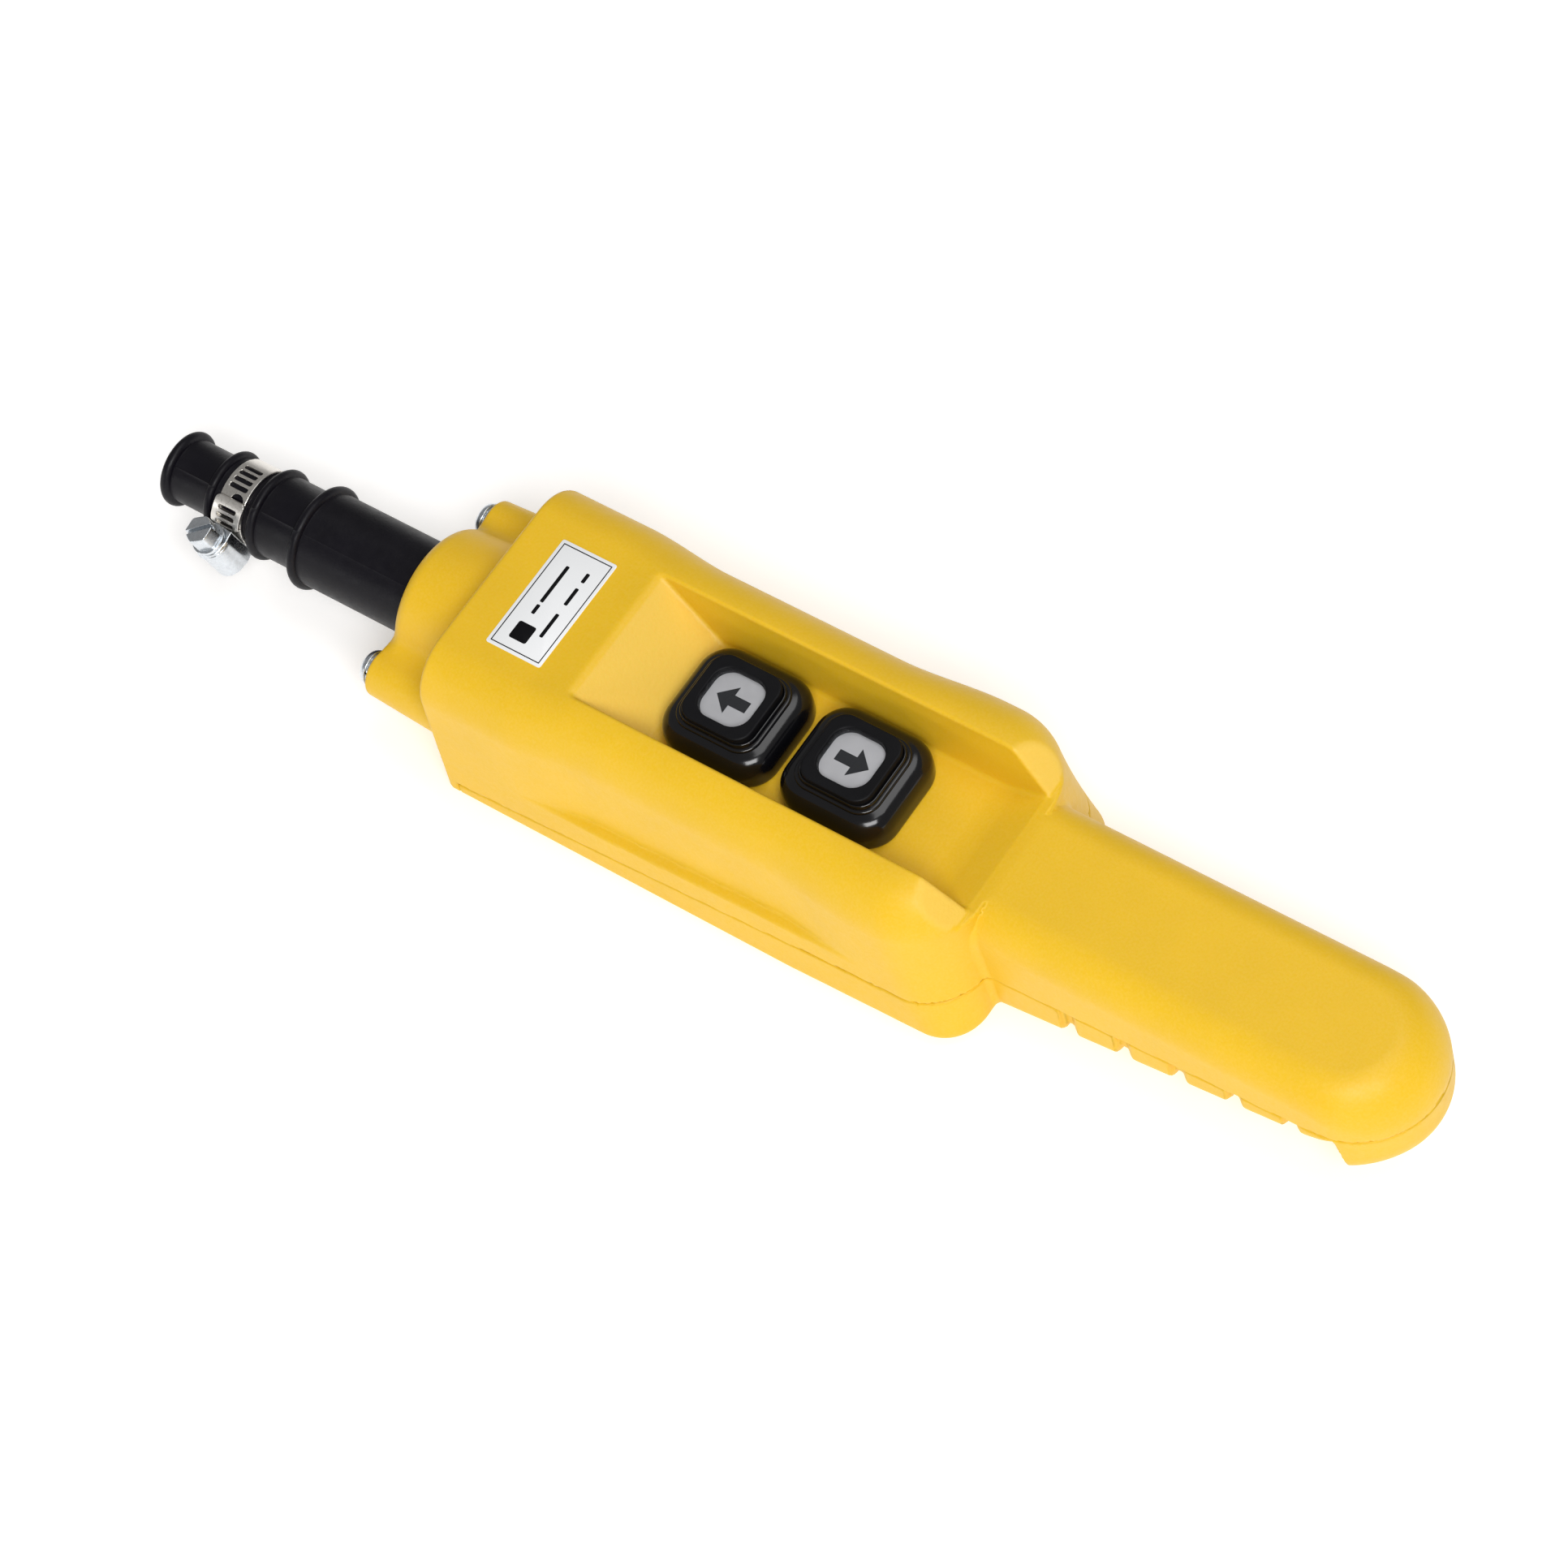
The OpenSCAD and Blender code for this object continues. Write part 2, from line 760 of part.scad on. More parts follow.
module boot() color(black) {
    inner = cap_w + 2 * gap;
    difference() {
        union() {
            for (step = boot_steps)
                soft_block(boot_l - step[0], boot_w - step[0], step[1], floor_z, step[2]);
        }
        soft_block(inner, inner, cap_corner_r + gap, floor_z - 1, boot_top + 1);
    }
}

module button_cap() color(black) {
    difference() {
        union() {
            soft_block(cap_w, cap_w, cap_corner_r, boot_top - 2.2, cap_top);
            rod(stem_r, stem_end, boot_top - 2);
        }
        soft_block(window_w + 2 * run, window_w + 2 * run, window_r, cap_top - window_depth, cap_top + 1);
        difference() {
            rod(stem_r + 1, clip_z, clip_z + clip_t);
            rod(stem_r - clip_groove, clip_z - 1, clip_z + clip_t + 1);
        }
    }
}

module legend_plate() color(steel)
    soft_block(window_w, window_w, window_r, cap_top - window_depth,
               cap_top - window_depth + legend_t);

module lens() color("#e8f0f4", 0.35)
    soft_block(window_w, window_w, window_r, cap_top - window_depth + legend_t,
               cap_top - lens_drop);

// Snap ring in the stem's groove, which stops the stem against the end of its bush
module stem_clip() color(steel)
    difference() {
        rod(clip_r, clip_z, clip_z + clip_t);
        rod(stem_r - clip_groove, clip_z - 1, clip_z + clip_t + 1);
    }

module plunger() color("#b22a22") {
    difference() {
        union() {
            rod(plunger_r, plunger_z, stem_end);
            rod(flange_r, plunger_z, plunger_z + flange_t);
        }
        translate([-bridge_w / 2, -10, bridge_z]) cube([bridge_w, 20, bridge_t]);
    }
}

// A compression coil, drawn as the tube that its turns lie in
module return_spring() color(steel)
    difference() {
        rod(spring_r, spring_z, plunger_z);
        rod(spring_r - spring_t, spring_z - 1, plunger_z + 1);
    }

module contact_bridge() color(brass) {
    translate([-bridge_w / 2, -bridge_l / 2, bridge_z]) cube([bridge_w, bridge_l, bridge_t]);
    for (s = [-1, 1])
        translate([0, s * contact_y, 0]) rod(contact_r, bridge_z - contact_t, bridge_z);
}

module contact_block() color("#303036") {
    difference() {
        soft_block(block_l, block_w, 1.5, block_z, block_top);
        translate([-block_l / 2 + block_wall, -block_w / 2 + block_wall, block_z + block_floor])
            cube([block_l - 2 * block_wall, block_w - 2 * block_wall,
                  block_top - block_wall - block_z - block_floor]);
        rod(plunger_r + run, block_top - block_wall - 1, block_top + 1);
        translate([-strip_w / 2, -block_w, strip_z]) cube([strip_w, 2 * block_w, strip_t]);
    }
}

module fixed_contacts() color(brass)
    for (s = [-1, 1]) mirror([0, s < 0 ? 1 : 0, 0]) {
        difference() {
            translate([-strip_w / 2, strip_start, strip_z])
                cube([strip_w, strip_end - strip_start, strip_t]);
            translate([0, terminal_y, 0]) rod(terminal_r, 0, strip_z + 5);
        }
        translate([0, contact_y, 0]) rod(contact_r, strip_z + strip_t, strip_z + strip_t + contact_t);
    }

module terminal_screws() color(steel)
    for (s = [-1, 1])
        translate([0, s * terminal_y, strip_z + strip_t])
            pan_screw(terminal_r, terminal_len, small_head_r, small_head_t);

// ---------------------------------------------------------------- the buttons, at their places

module at_up() placed() translate([up_x, 0, 0]) children();
module at_down() placed() translate([down_x, 0, 0]) children();

front_shell();
rear_cover();
cover_gasket();
cover_screws();
cable_entry_cap();
cap_screws();
cap_spring_washers();
cap_inserts();
cable_sleeve();
clamp_band();
clamp_housing();
clamp_screw();
rating_label();
cord_grip_strap();
cord_grip_screws();
switch_carrier();
carrier_screws();
at_up() boot();  // up_boot
at_up() button_cap();  // up_button_cap
at_up() legend_plate();  // up_legend_plate
at_up() lens();  // up_lens
at_up() stem_clip();  // up_stem_clip
at_up() plunger();  // up_plunger
at_up() return_spring();  // up_return_spring
at_up() contact_bridge();  // up_contact_bridge
at_up() contact_block();  // up_contact_block
at_up() fixed_contacts();  // up_fixed_contacts
at_up() terminal_screws();  // up_terminal_screws
at_down() boot();  // down_boot
at_down() button_cap();  // down_button_cap
at_down() legend_plate();  // down_legend_plate
at_down() lens();  // down_lens
at_down() stem_clip();  // down_stem_clip
at_down() plunger();  // down_plunger
at_down() return_spring();  // down_return_spring
at_down() contact_bridge();  // down_contact_bridge
at_down() contact_block();  // down_contact_block
at_down() fixed_contacts();  // down_fixed_contacts
at_down() terminal_screws();  // down_terminal_screws
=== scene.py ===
"""The looks of a two-button pendant control station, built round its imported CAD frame.

Shapes are worked out in millimetres in the drawing frame: x = 0 is the cable end of the body, +X runs to
the tip of the grip, y = 0 is the middle and z = 0 is the back. Moulded parts are signed distance fields that
are turned into meshes, and parts with a plain outline are lofts.
"""

import json
import math

import bpy
import numpy as np
from mathutils import Matrix, Vector


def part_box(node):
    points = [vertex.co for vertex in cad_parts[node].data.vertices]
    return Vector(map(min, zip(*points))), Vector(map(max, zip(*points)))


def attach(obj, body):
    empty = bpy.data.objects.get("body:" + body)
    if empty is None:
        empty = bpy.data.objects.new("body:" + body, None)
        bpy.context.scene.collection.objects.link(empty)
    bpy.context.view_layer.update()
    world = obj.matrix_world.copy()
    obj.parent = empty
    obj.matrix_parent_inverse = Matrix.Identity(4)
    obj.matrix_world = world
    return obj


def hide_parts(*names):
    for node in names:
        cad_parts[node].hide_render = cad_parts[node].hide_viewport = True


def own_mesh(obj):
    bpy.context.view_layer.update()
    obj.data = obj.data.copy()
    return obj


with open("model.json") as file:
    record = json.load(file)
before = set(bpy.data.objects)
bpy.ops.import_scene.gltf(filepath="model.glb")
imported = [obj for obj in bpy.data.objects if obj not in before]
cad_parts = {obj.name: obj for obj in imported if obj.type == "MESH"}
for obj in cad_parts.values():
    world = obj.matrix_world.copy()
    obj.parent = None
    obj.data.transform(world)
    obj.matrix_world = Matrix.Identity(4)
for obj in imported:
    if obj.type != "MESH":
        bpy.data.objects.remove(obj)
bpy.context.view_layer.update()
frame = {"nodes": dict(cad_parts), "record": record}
MM = 0.001


def node_box(node):
    """A CAD node's lowest and highest corner, in the drawing frame."""
    low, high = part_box(node)
    shift = np.array([HEAD_X, 0, 0])
    return (np.array(low) - shift) / MM, (np.array(high) - shift) / MM


# ---------------------------------------------------------------- sizes, in millimetres

HEAD_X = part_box("front_shell")[0].x
SHELL_LOW, SHELL_HIGH = node_box("front_shell")
TIP_X = SHELL_HIGH[0]
HALF_W = SHELL_HIGH[1] - 0.05
RAIL_Z = SHELL_HIGH[2]
HEAD_Z = RAIL_Z - 1
NECK_X = 151.0
WALL = 3.0
DRAFT = math.radians(3.5)
SHOULDER_R = 12.0
SCOOP_DEPTH = 2.2
FLOOR_Z = node_box("up_boot")[0][2]
DECK_Z = HEAD_Z - 10
GRIP_HALF_W = 20.1
GRIP_EDGE_R = 9.0
TIP_SETBACK = 1.2
SEAM_Z = 5.0
SEAM_SLOPE = math.tan(math.radians(4.6))
SEAM_GAP = 0.07
END_WALL = 3.5
UNDER_Z = 3.5
UNDER_SLOPE = math.tan(math.radians(9.6))
LIFT_X = 101.0
LIFT_SLOPE = math.tan(math.radians(3.2))
POMMEL_X = TIP_X - 17.5
POMMEL_Z = 7.8
NOTCH_X = 169.3
NOTCH_PITCH = 14.9
NOTCHES = 5
CABLE_Z = sum(node_box("cable_sleeve")[i][2] for i in (0, 1)) / 2
RECESS_HALF_W = 16.0
RAMP_X = 38.4
RAMP_L = 16.6
RAMP_H = 13.5
RISE_X = 135.5
RISE_L = 11.0
RISE_H = 3.5
FACET_X = 146.8
FACET_L = 9.8
GRIP_START_X = 122
NOTCH_DEPTH = 1.9
SLEEVE_HOLE_R = 12.4
COVER_SCREWS = ((13, 25.5), (141, 21))
COVER_HOLE_R = 2.3
COVER_HEAD_R = 4.1
COVER_HEAD_T = 3.0
EAR_Y = 24
EAR_R = 7.4
CAP_L = 24
CAP_R = 20.5
BUTTON_X = {side: sum(node_box(side + "_boot")[i][0] for i in (0, 1)) / 2 for side in ("up", "down")}


# ---------------------------------------------------------------- distance fields

def meet(a, b, r):
    """Where two fields are both inside, with the edge between them rounded to radius r."""
    return np.minimum(np.maximum(a, b), -r) + np.hypot(np.maximum(a + r, 0), np.maximum(b + r, 0))


def join(a, b, r):
    """Where either field is inside, with a fillet of radius r between them."""
    return -meet(-a, -b, r)


def carve(a, b, r):
    """Field a without field b, with an edge of radius r."""
    return meet(a, -b, r)


def ease(x, start, end):
    """Rises smoothly from 0 at start to 1 at end."""
    t = np.clip((x - start) / (end - start), 0, 1)
    return t * t * (3 - 2 * t)


def plan(x, y, half_w, corner_r, end_x):
    """Distance outside an outline that runs along x and has two round corners at end_x."""
    qx = x - (end_x - corner_r)
    qy = np.abs(y) - (half_w - corner_r)
    return np.hypot(np.maximum(qx, 0), np.maximum(qy, 0)) + np.minimum(np.maximum(qx, qy), 0) - corner_r


def drafted(distance, z):
    """A side wall that leans inwards as it rises."""
    return distance * math.cos(DRAFT) + z * math.sin(DRAFT)


def back(x, z):
    """The back face, which lifts off the table towards the neck."""
    return np.maximum(-z, (x - LIFT_X) * LIFT_SLOPE - z)


def ledge_height(x):
    """Height of the ledge along the top of the skirt."""
    return 19.5 + 2.5 * np.tanh((x - 75) / 35)


def main_body(x, y, z):
    """The body before its recess, with scooped sides and neck corners that open out with height."""
    corner_r = 9.5 + 13 * np.tanh(z / 28)
    side = drafted(plan(x, y, HALF_W, corner_r, NECK_X), z)
    ledge = ledge_height(x)
    scoop = SCOOP_DEPTH * ease(x, 24, 48) * (1 - ease(x, 98, 126))
    side = side + scoop * ease(z, ledge - 0.9, ledge + 0.7)
    top = z - HEAD_Z - (RAIL_Z - HEAD_Z) * ease(x, 26, 44)
    body = meet(meet(side, top, SHOULDER_R), back(x, z), 3.0)
    return meet(body, -x, 1.4)


def rail_facets(x, z):
    """What is cut off above the rails' sloping ends and above the deck beyond them."""
    slope = math.atan2(RAIL_Z - DECK_Z, FACET_L)
    facet = (x - FACET_X) * math.sin(slope) + (z - DECK_Z) * math.cos(slope)
    return np.maximum(-facet, DECK_Z - z)


def above_ramp(x, z):
    """Height over the ramp that leads down to the buttons."""
    return ((x - RAMP_X) * RAMP_H + (z - HEAD_Z) * RAMP_L) / math.hypot(RAMP_L, RAMP_H)


def button_recess(x, y, z):
    """The space round the buttons: a floor, leaning sides, a ramp in and a gentle rise out."""
    side = np.abs(y) - RECESS_HALF_W - (z - FLOOR_Z) * (2.5 / RAMP_H)
    ramp = -above_ramp(x, z)
    rise = ((x - RISE_X) * RISE_H - (z - FLOOR_Z) * RISE_L) / math.hypot(RISE_H, RISE_L)
    pocket = meet(FLOOR_Z - z, side, 1.0)
    return meet(meet(pocket, ramp, 1.0), rise, 1.0)


def grip(x, y, z):
    """The grip, with a rounder nose and a pommel that hangs below its sloping underside."""
    outline = plan(x, y, GRIP_HALF_W, GRIP_HALF_W, TIP_X - TIP_SETBACK) + (z - 20) * 0.02
    nose = ease(x, TIP_X - 26, TIP_X - 4)
    body = meet(outline, z - DECK_Z, GRIP_EDGE_R + 4.0 * nose)
    under = UNDER_Z + np.maximum(x - NECK_X, 0) * UNDER_SLOPE
    step = ease(x, POMMEL_X, POMMEL_X + 3)
    under = under * (1 - step) + POMMEL_Z * step
    body = meet(body, under - z, 4.5 + 6.5 * nose)
    return meet(body, GRIP_START_X - x, 1.0)


def outer_form(x, y, z):
    """The whole outside: body, facets and grip, with the recess cut through them."""
    body = carve(main_body(x, y, z), rail_facets(x, z), 0.6)
    body = join(body, grip(x, y, z), 0.05 + 1.6 * (1 - ease(z, 33, 39)))
    return carve(body, button_recess(x, y, z), 0.9)


def finger_grooves(x):
    """How deep the gaps between the finger pads are at x: abrupt at one end and gradual at the other."""
    depth = 0
    for i in range(NOTCHES):
        t = x - NOTCH_X - i * NOTCH_PITCH
        depth = depth + NOTCH_DEPTH * ease(t, -0.3, 0.3) * (1 - ease(t, 1.8, 5.0))
    return depth


def above_seam(x, z):
    """Height over the sloping joint between the shells."""
    return (z - SEAM_Z - x * SEAM_SLOPE) / math.hypot(1, SEAM_SLOPE)


def hollow(form):
    """The wall just inside a form's surface."""
    return np.maximum(form, -form - WALL)


def front_shell(x, y, z):
    """The front half, with the holes for the button stems and the sleeve."""
    form = hollow(outer_form(x, y, z))
    for bx in BUTTON_X.values():
        form = np.maximum(form, 4.3 - np.hypot(x - bx, y))
    kept = np.minimum(-above_seam(x, z), x - END_WALL)
    form = meet(form, kept + SEAM_GAP, 0.35)
    return np.maximum(form, SLEEVE_HOLE_R - np.hypot(y, z - CABLE_Z) - np.maximum(x - 6, 0) * 9)


def rear_cover(x, y, z):
    """The back half, with the finger grooves and the counterbored holes of its screws."""
    outer = outer_form(x, y, z) + finger_grooves(x)
    kept = np.maximum(above_seam(x, z), END_WALL - x)
    form = meet(hollow(outer), kept + SEAM_GAP, 0.35)
    for screw_x, screw_y in COVER_SCREWS:
        post = np.hypot(x - screw_x, np.abs(y) - screw_y)
        form = np.maximum(form, np.maximum(COVER_HOLE_R - post, -1 - z))
        form = carve(form, np.maximum(post - COVER_HEAD_R, z - COVER_HEAD_T), 0.3)
    return form


def gasket_cord(x, y, z):
    """The cord in the middle of the wall, along the joint between the shells."""
    across = np.abs(outer_form(x, y, z) + WALL / 2) - 0.7
    return np.maximum(meet(across, np.abs(above_seam(x, z)) - 0.7, 0.4), END_WALL + 1 - x)


def entry_cap(x, y, z):
    """The tapered collar round the sleeve, with an ear for a screw at each side."""
    out = -x
    radius = np.hypot(y, z - CABLE_Z)
    collar = meet(radius - CAP_R + 1.5 * out / CAP_L, out - CAP_L, 4.0)
    ear = np.hypot(np.abs(y) - EAR_Y, z - CABLE_Z) - EAR_R + 1.2 * out / CAP_L
    ears = meet(ear, out - CAP_L, 0.9)
    form = join(collar, ears, 5.0)
    form = meet(form, 0.12 - out, 0.3)
    form = carve(form, radius - 12.35, 0.6)
    return np.maximum(form, 2.8 - np.hypot(np.abs(y) - EAR_Y, z - CABLE_Z))


# ---------------------------------------------------------------- fields into meshes

CORNERS = [(i, j, k) for i in (0, 1) for j in (0, 1) for k in (0, 1)]
CELL_EDGES = [(a, b) for a in CORNERS for b in CORNERS if a < b and sum(b) - sum(a) == 1
              and all(q >= p for p, q in zip(a, b))]


def gradient(field, points, reach=0.03):
    parts = []
    for axis in range(3):
        step = np.zeros(3)
        step[axis] = reach
        ahead, behind = points + step, points - step
        parts.append((field(*ahead.T) - field(*behind.T)) / (2 * reach))
    return np.stack(parts, 1)


def surface(field, low, high, step):
    """Vertices, quads and normals of a field's surface: one vertex in each cell that it crosses."""
    margin = 1.5 + step
    axes = [np.arange(a - margin, b + margin + step, step) for a, b in zip(low, high)]
    value = np.empty([len(a) for a in axes], np.float32)
    for i, x in enumerate(axes[0]):
        value[i] = field(x, *np.meshgrid(axes[1], axes[2], indexing="ij"))
    inside = value < 0
    size = [n - 1 for n in value.shape]
    count = np.zeros(size, np.int8)
    for i, j, k in CORNERS:
        count += inside[i:i + size[0], j:j + size[1], k:k + size[2]]
    cells = np.argwhere((count > 0) & (count < 8))
    number = np.full(size, -1, np.int64)
    number[tuple(cells.T)] = np.arange(len(cells))
    total = np.zeros((len(cells), 3))
    hits = np.zeros(len(cells))
    for a, b in CELL_EDGES:
        va = value[tuple((cells + a).T)]
        vb = value[tuple((cells + b).T)]
        crossed = (va < 0) != (vb < 0)
        share = np.where(crossed, va / np.where(crossed, va - vb, 1), 0)
        point = np.array(a) + share[:, None] * (np.array(b) - np.array(a))
        total += point * crossed[:, None]
        hits += crossed
    points = (cells + total / hits[:, None]) * step + np.array([a[0] for a in axes])
    for _ in range(3):
        slope = gradient(field, points)
        move = field(*points.T)[:, None] * slope / np.maximum((slope ** 2).sum(1), 0.2)[:, None]
        length = np.linalg.norm(move, axis=1)[:, None]
        points = points - move * np.minimum(1, 0.4 * step / np.maximum(length, 1e-9))
    quads = []
    for axis in range(3):
        u, v = [i for i in range(3) if i != axis]
        if axis == 1:
            u, v = v, u
        unit = np.eye(3, dtype=int)
        first = inside[tuple(slice(0, -1) if i == axis else slice(None) for i in range(3))]
        second = inside[tuple(slice(1, None) if i == axis else slice(None) for i in range(3))]
        nodes = np.argwhere(first != second)
        leaving = first[tuple(nodes.T)]
        ring = [nodes, nodes - unit[u], nodes - unit[u] - unit[v], nodes - unit[v]]
        quad = np.stack([number[tuple(r.T)] for r in ring], 1)
        quad[~leaving] = quad[~leaving][:, ::-1]
        quads.append(quad)
    normals = gradient(field, points)
    normals /= np.maximum(np.linalg.norm(normals, axis=1), 1e-9)[:, None]
    return points, np.concatenate(quads), normals


def outline(half_x, half_y, r, steps=12):
    """Points round a rectangle with round corners."""
    points = []
    for k, (sx, sy) in enumerate(((1, 1), (-1, 1), (-1, -1), (1, -1))):
        for a in np.linspace(0, math.pi / 2, steps):
            angle = k * math.pi / 2 + a
            points.append((sx * (half_x - r) + r * math.cos(angle),
                           sy * (half_y - r) + r * math.sin(angle)))
    return np.array(points)


def circle(r, steps=48):
    a = np.linspace(0, 2 * math.pi, steps, endpoint=False)
    return np.stack([r * np.cos(a), r * np.sin(a)], 1)


def loft(rings, closed=False):
    """Vertices and faces of a skin over rings of points, capped at both ends or closed on itself."""
    n = len(rings[0])
    points = np.concatenate(rings)
    faces = []
    count = len(rings)
    for i in range(count if closed else count - 1):
        a, b = i * n, (i + 1) % count * n
        faces += [(a + j, a + (j + 1) % n, b + (j + 1) % n, b + j) for j in range(n)]
    if not closed:
        faces.append(tuple(range(n))[::-1])
        faces.append(tuple((count - 1) * n + j for j in range(n)))
    return points, faces


def level(points, z):
    return np.column_stack([points, np.full(len(points), z)])


def turned(profile, steps=48):
    """A solid turned about z from (radius, z) points that start and end on or near the axis."""
    return loft([level(circle(max(r, 0.02), steps), z) for r, z in profile])


def merge(*solids):
    """Several (points, faces) solids as one."""
    points, faces, base = [], [], 0
    for p, f in solids:
        points.append(np.asarray(p, float))
        faces += [tuple(int(i) + base for i in face) for face in f]
        base += len(p)
    return np.concatenate(points), faces


def moved(solid, offset=(0, 0, 0), matrix=None):
    points, faces = solid
    points = np.asarray(points, float)
    if matrix is not None:
        points = points @ np.array(matrix).T
    return points + np.array(offset), faces


def tube(path, r, sides=10):
    """A round wire along a path of points."""
    path = np.asarray(path, float)
    along = np.gradient(path, axis=0)
    along /= np.linalg.norm(along, axis=1)[:, None]
    side = np.cross(along, np.array([0.0, 0.0, 1.0]))
    side /= np.linalg.norm(side, axis=1)[:, None]
    up = np.cross(side, along)
    rings = []
    for p, s, u in zip(path, side, up):
        ring = circle(r, sides)
        rings.append(p + ring[:, :1] * s + ring[:, 1:] * u)
    return loft(rings)


# ---------------------------------------------------------------- materials

class Shader:
    """A material whose nodes are added one at a time."""

    def __init__(self, name):
        self.material = bpy.data.materials.new(name)
        self.material.use_nodes = True
        self.tree = self.material.node_tree
        self.surface = self.tree.nodes["Principled BSDF"]
        self.place = self.tree.nodes.new("ShaderNodeTexCoord").outputs["Object"]

    def put(self, **values):
        for name, value in values.items():
            self.surface.inputs[name.replace("_", " ")].default_value = value
        return self

    def link(self, source, target):
        self.tree.links.new(source, self.surface.inputs[target] if isinstance(target, str) else target)

    def noise(self, scale, detail=3.0, rough=0.55, stretch=None):
        node = self.tree.nodes.new("ShaderNodeTexNoise")
        node.inputs["Scale"].default_value = scale
        node.inputs["Detail"].default_value = detail
        node.inputs["Roughness"].default_value = rough
        source = self.place
        if stretch:
            mapping = self.tree.nodes.new("ShaderNodeMapping")
            mapping.inputs["Scale"].default_value = stretch
            self.tree.links.new(source, mapping.inputs["Vector"])
            source = mapping.outputs["Vector"]
        self.tree.links.new(source, node.inputs["Vector"])
        return node.outputs["Fac"]

    def spread(self, value, low, high, start=0.3, end=0.7):
        node = self.tree.nodes.new("ShaderNodeMapRange")
        for name, number in (("From Min", start), ("From Max", end), ("To Min", low), ("To Max", high)):
            node.inputs[name].default_value = number
        self.tree.links.new(value, node.inputs["Value"])
        return node.outputs["Result"]

    def ramp(self, value, colors):
        node = self.tree.nodes.new("ShaderNodeValToRGB")
        ramp = node.color_ramp
        while len(ramp.elements) < len(colors):
            ramp.elements.new(0.5)
        for element, (at, color) in zip(ramp.elements, colors):
            element.position = at
            element.color = (*color, 1)
        self.tree.links.new(value, node.inputs["Fac"])
        return node.outputs["Color"]

    def mix(self, a, b, share):
        node = self.tree.nodes.new("ShaderNodeMix")
        node.data_type = "RGBA"
        for source, socket in ((share, 0), (a, 6), (b, 7)):
            if isinstance(source, bpy.types.NodeSocket):
                self.tree.links.new(source, node.inputs[socket])
            else:
                node.inputs[socket].default_value = source
        return node.outputs[2]

    def bump(self, height, distance, strength=1.0):
        node = self.tree.nodes.new("ShaderNodeBump")
        node.inputs["Distance"].default_value = distance
        if isinstance(strength, bpy.types.NodeSocket):
            self.tree.links.new(strength, node.inputs["Strength"])
        else:
            node.inputs["Strength"].default_value = strength
        self.tree.links.new(height, node.inputs["Height"])
        before = self.surface.inputs["Normal"]
        if before.is_linked:
            self.tree.links.new(before.links[0].from_socket, node.inputs["Normal"])
        self.tree.links.new(node.outputs["Normal"], before)

    def attribute(self, name):
        node = self.tree.nodes.new("ShaderNodeAttribute")
        node.attribute_name = name
        return node.outputs["Fac"]


def srgb(*values):
    return tuple((v / 12.92 if v <= 0.04045 else ((v + 0.055) / 1.055) ** 2.4) for v in
                 (c / 255 for c in values))


def moulded(name, color, low, high, grain=2600, depth=0.00003, tint=0.06):
    """Moulded plastic or rubber with a fine spark-eroded grain and a little variation of shade."""
    s = Shader(name)
    light = tuple(min(1, c * (1 + tint)) for c in color)
    dark = tuple(c * (1 - tint) for c in color)
    s.link(s.ramp(s.noise(90, 4), [(0.3, dark), (0.7, light)]), "Base Color")
    s.link(s.spread(s.noise(grain / 4, 3), low, high), "Roughness")
    s.bump(s.noise(grain, 3, 0.6), depth)
    return s


def yellow_plastic():
    """Satin yellow ABS: the facets and the ramp carry a coarser, paler grain."""
    s = Shader("yellow_abs")
    base, pale = srgb(232, 186, 27), srgb(243, 206, 108)
    shade = s.ramp(s.noise(60, 4), [(0.3, tuple(c * 0.95 for c in base)), (0.7, base)])
    speck = s.ramp(s.noise(1500, 2), [(0.35, base), (0.7, pale)])
    fine = s.mix(shade, speck, 0.14)
    coarse = s.attribute("coarse")
    s.link(s.mix(fine, (*pale, 1), s.spread(coarse, 0, 0.45, 0, 1)), "Base Color")
    s.link(s.spread(s.noise(500, 3), 0.40, 0.50), "Roughness")
    s.bump(s.noise(2600, 3, 0.6), 0.00004, 0.55)
    s.bump(s.noise(1100, 2, 0.5), 0.00010, s.spread(coarse, 0, 0.8, 0, 1))
    s.put(Subsurface_Weight=0.05, Subsurface_Scale=0.002)
    return s.put(IOR=1.53, Specular_IOR_Level=0.32).material


def metal(name, color, low, high, grain=900, stretch=None, depth=0.00002):
    s = Shader(name)
    dark = tuple(c * 0.86 for c in color)
    s.link(s.ramp(s.noise(grain, 4, 0.6, stretch), [(0.3, dark), (0.7, color)]), "Base Color")
    s.link(s.spread(s.noise(grain / 3, 3, 0.6, stretch), low, high), "Roughness")
    s.bump(s.noise(grain, 3, 0.6, stretch), depth)
    return s.put(Metallic=1.0).material


def silver_foil():
    """Fine silver foil, which scatters nearly as much light as it mirrors."""
    s = moulded("legend_foil", (0.62, 0.62, 0.64), 0.30, 0.42, 2200, 0.000008, 0.05)
    return s.put(Metallic=0.45, Specular_IOR_Level=0.6).material


def clear_plastic():
    s = moulded("clear_lens", (0.25, 0.26, 0.28), 0.03, 0.06, 800, 0.000004, 0.01)
    return s.put(Alpha=0.05, IOR=1.49, Specular_IOR_Level=0.5).material


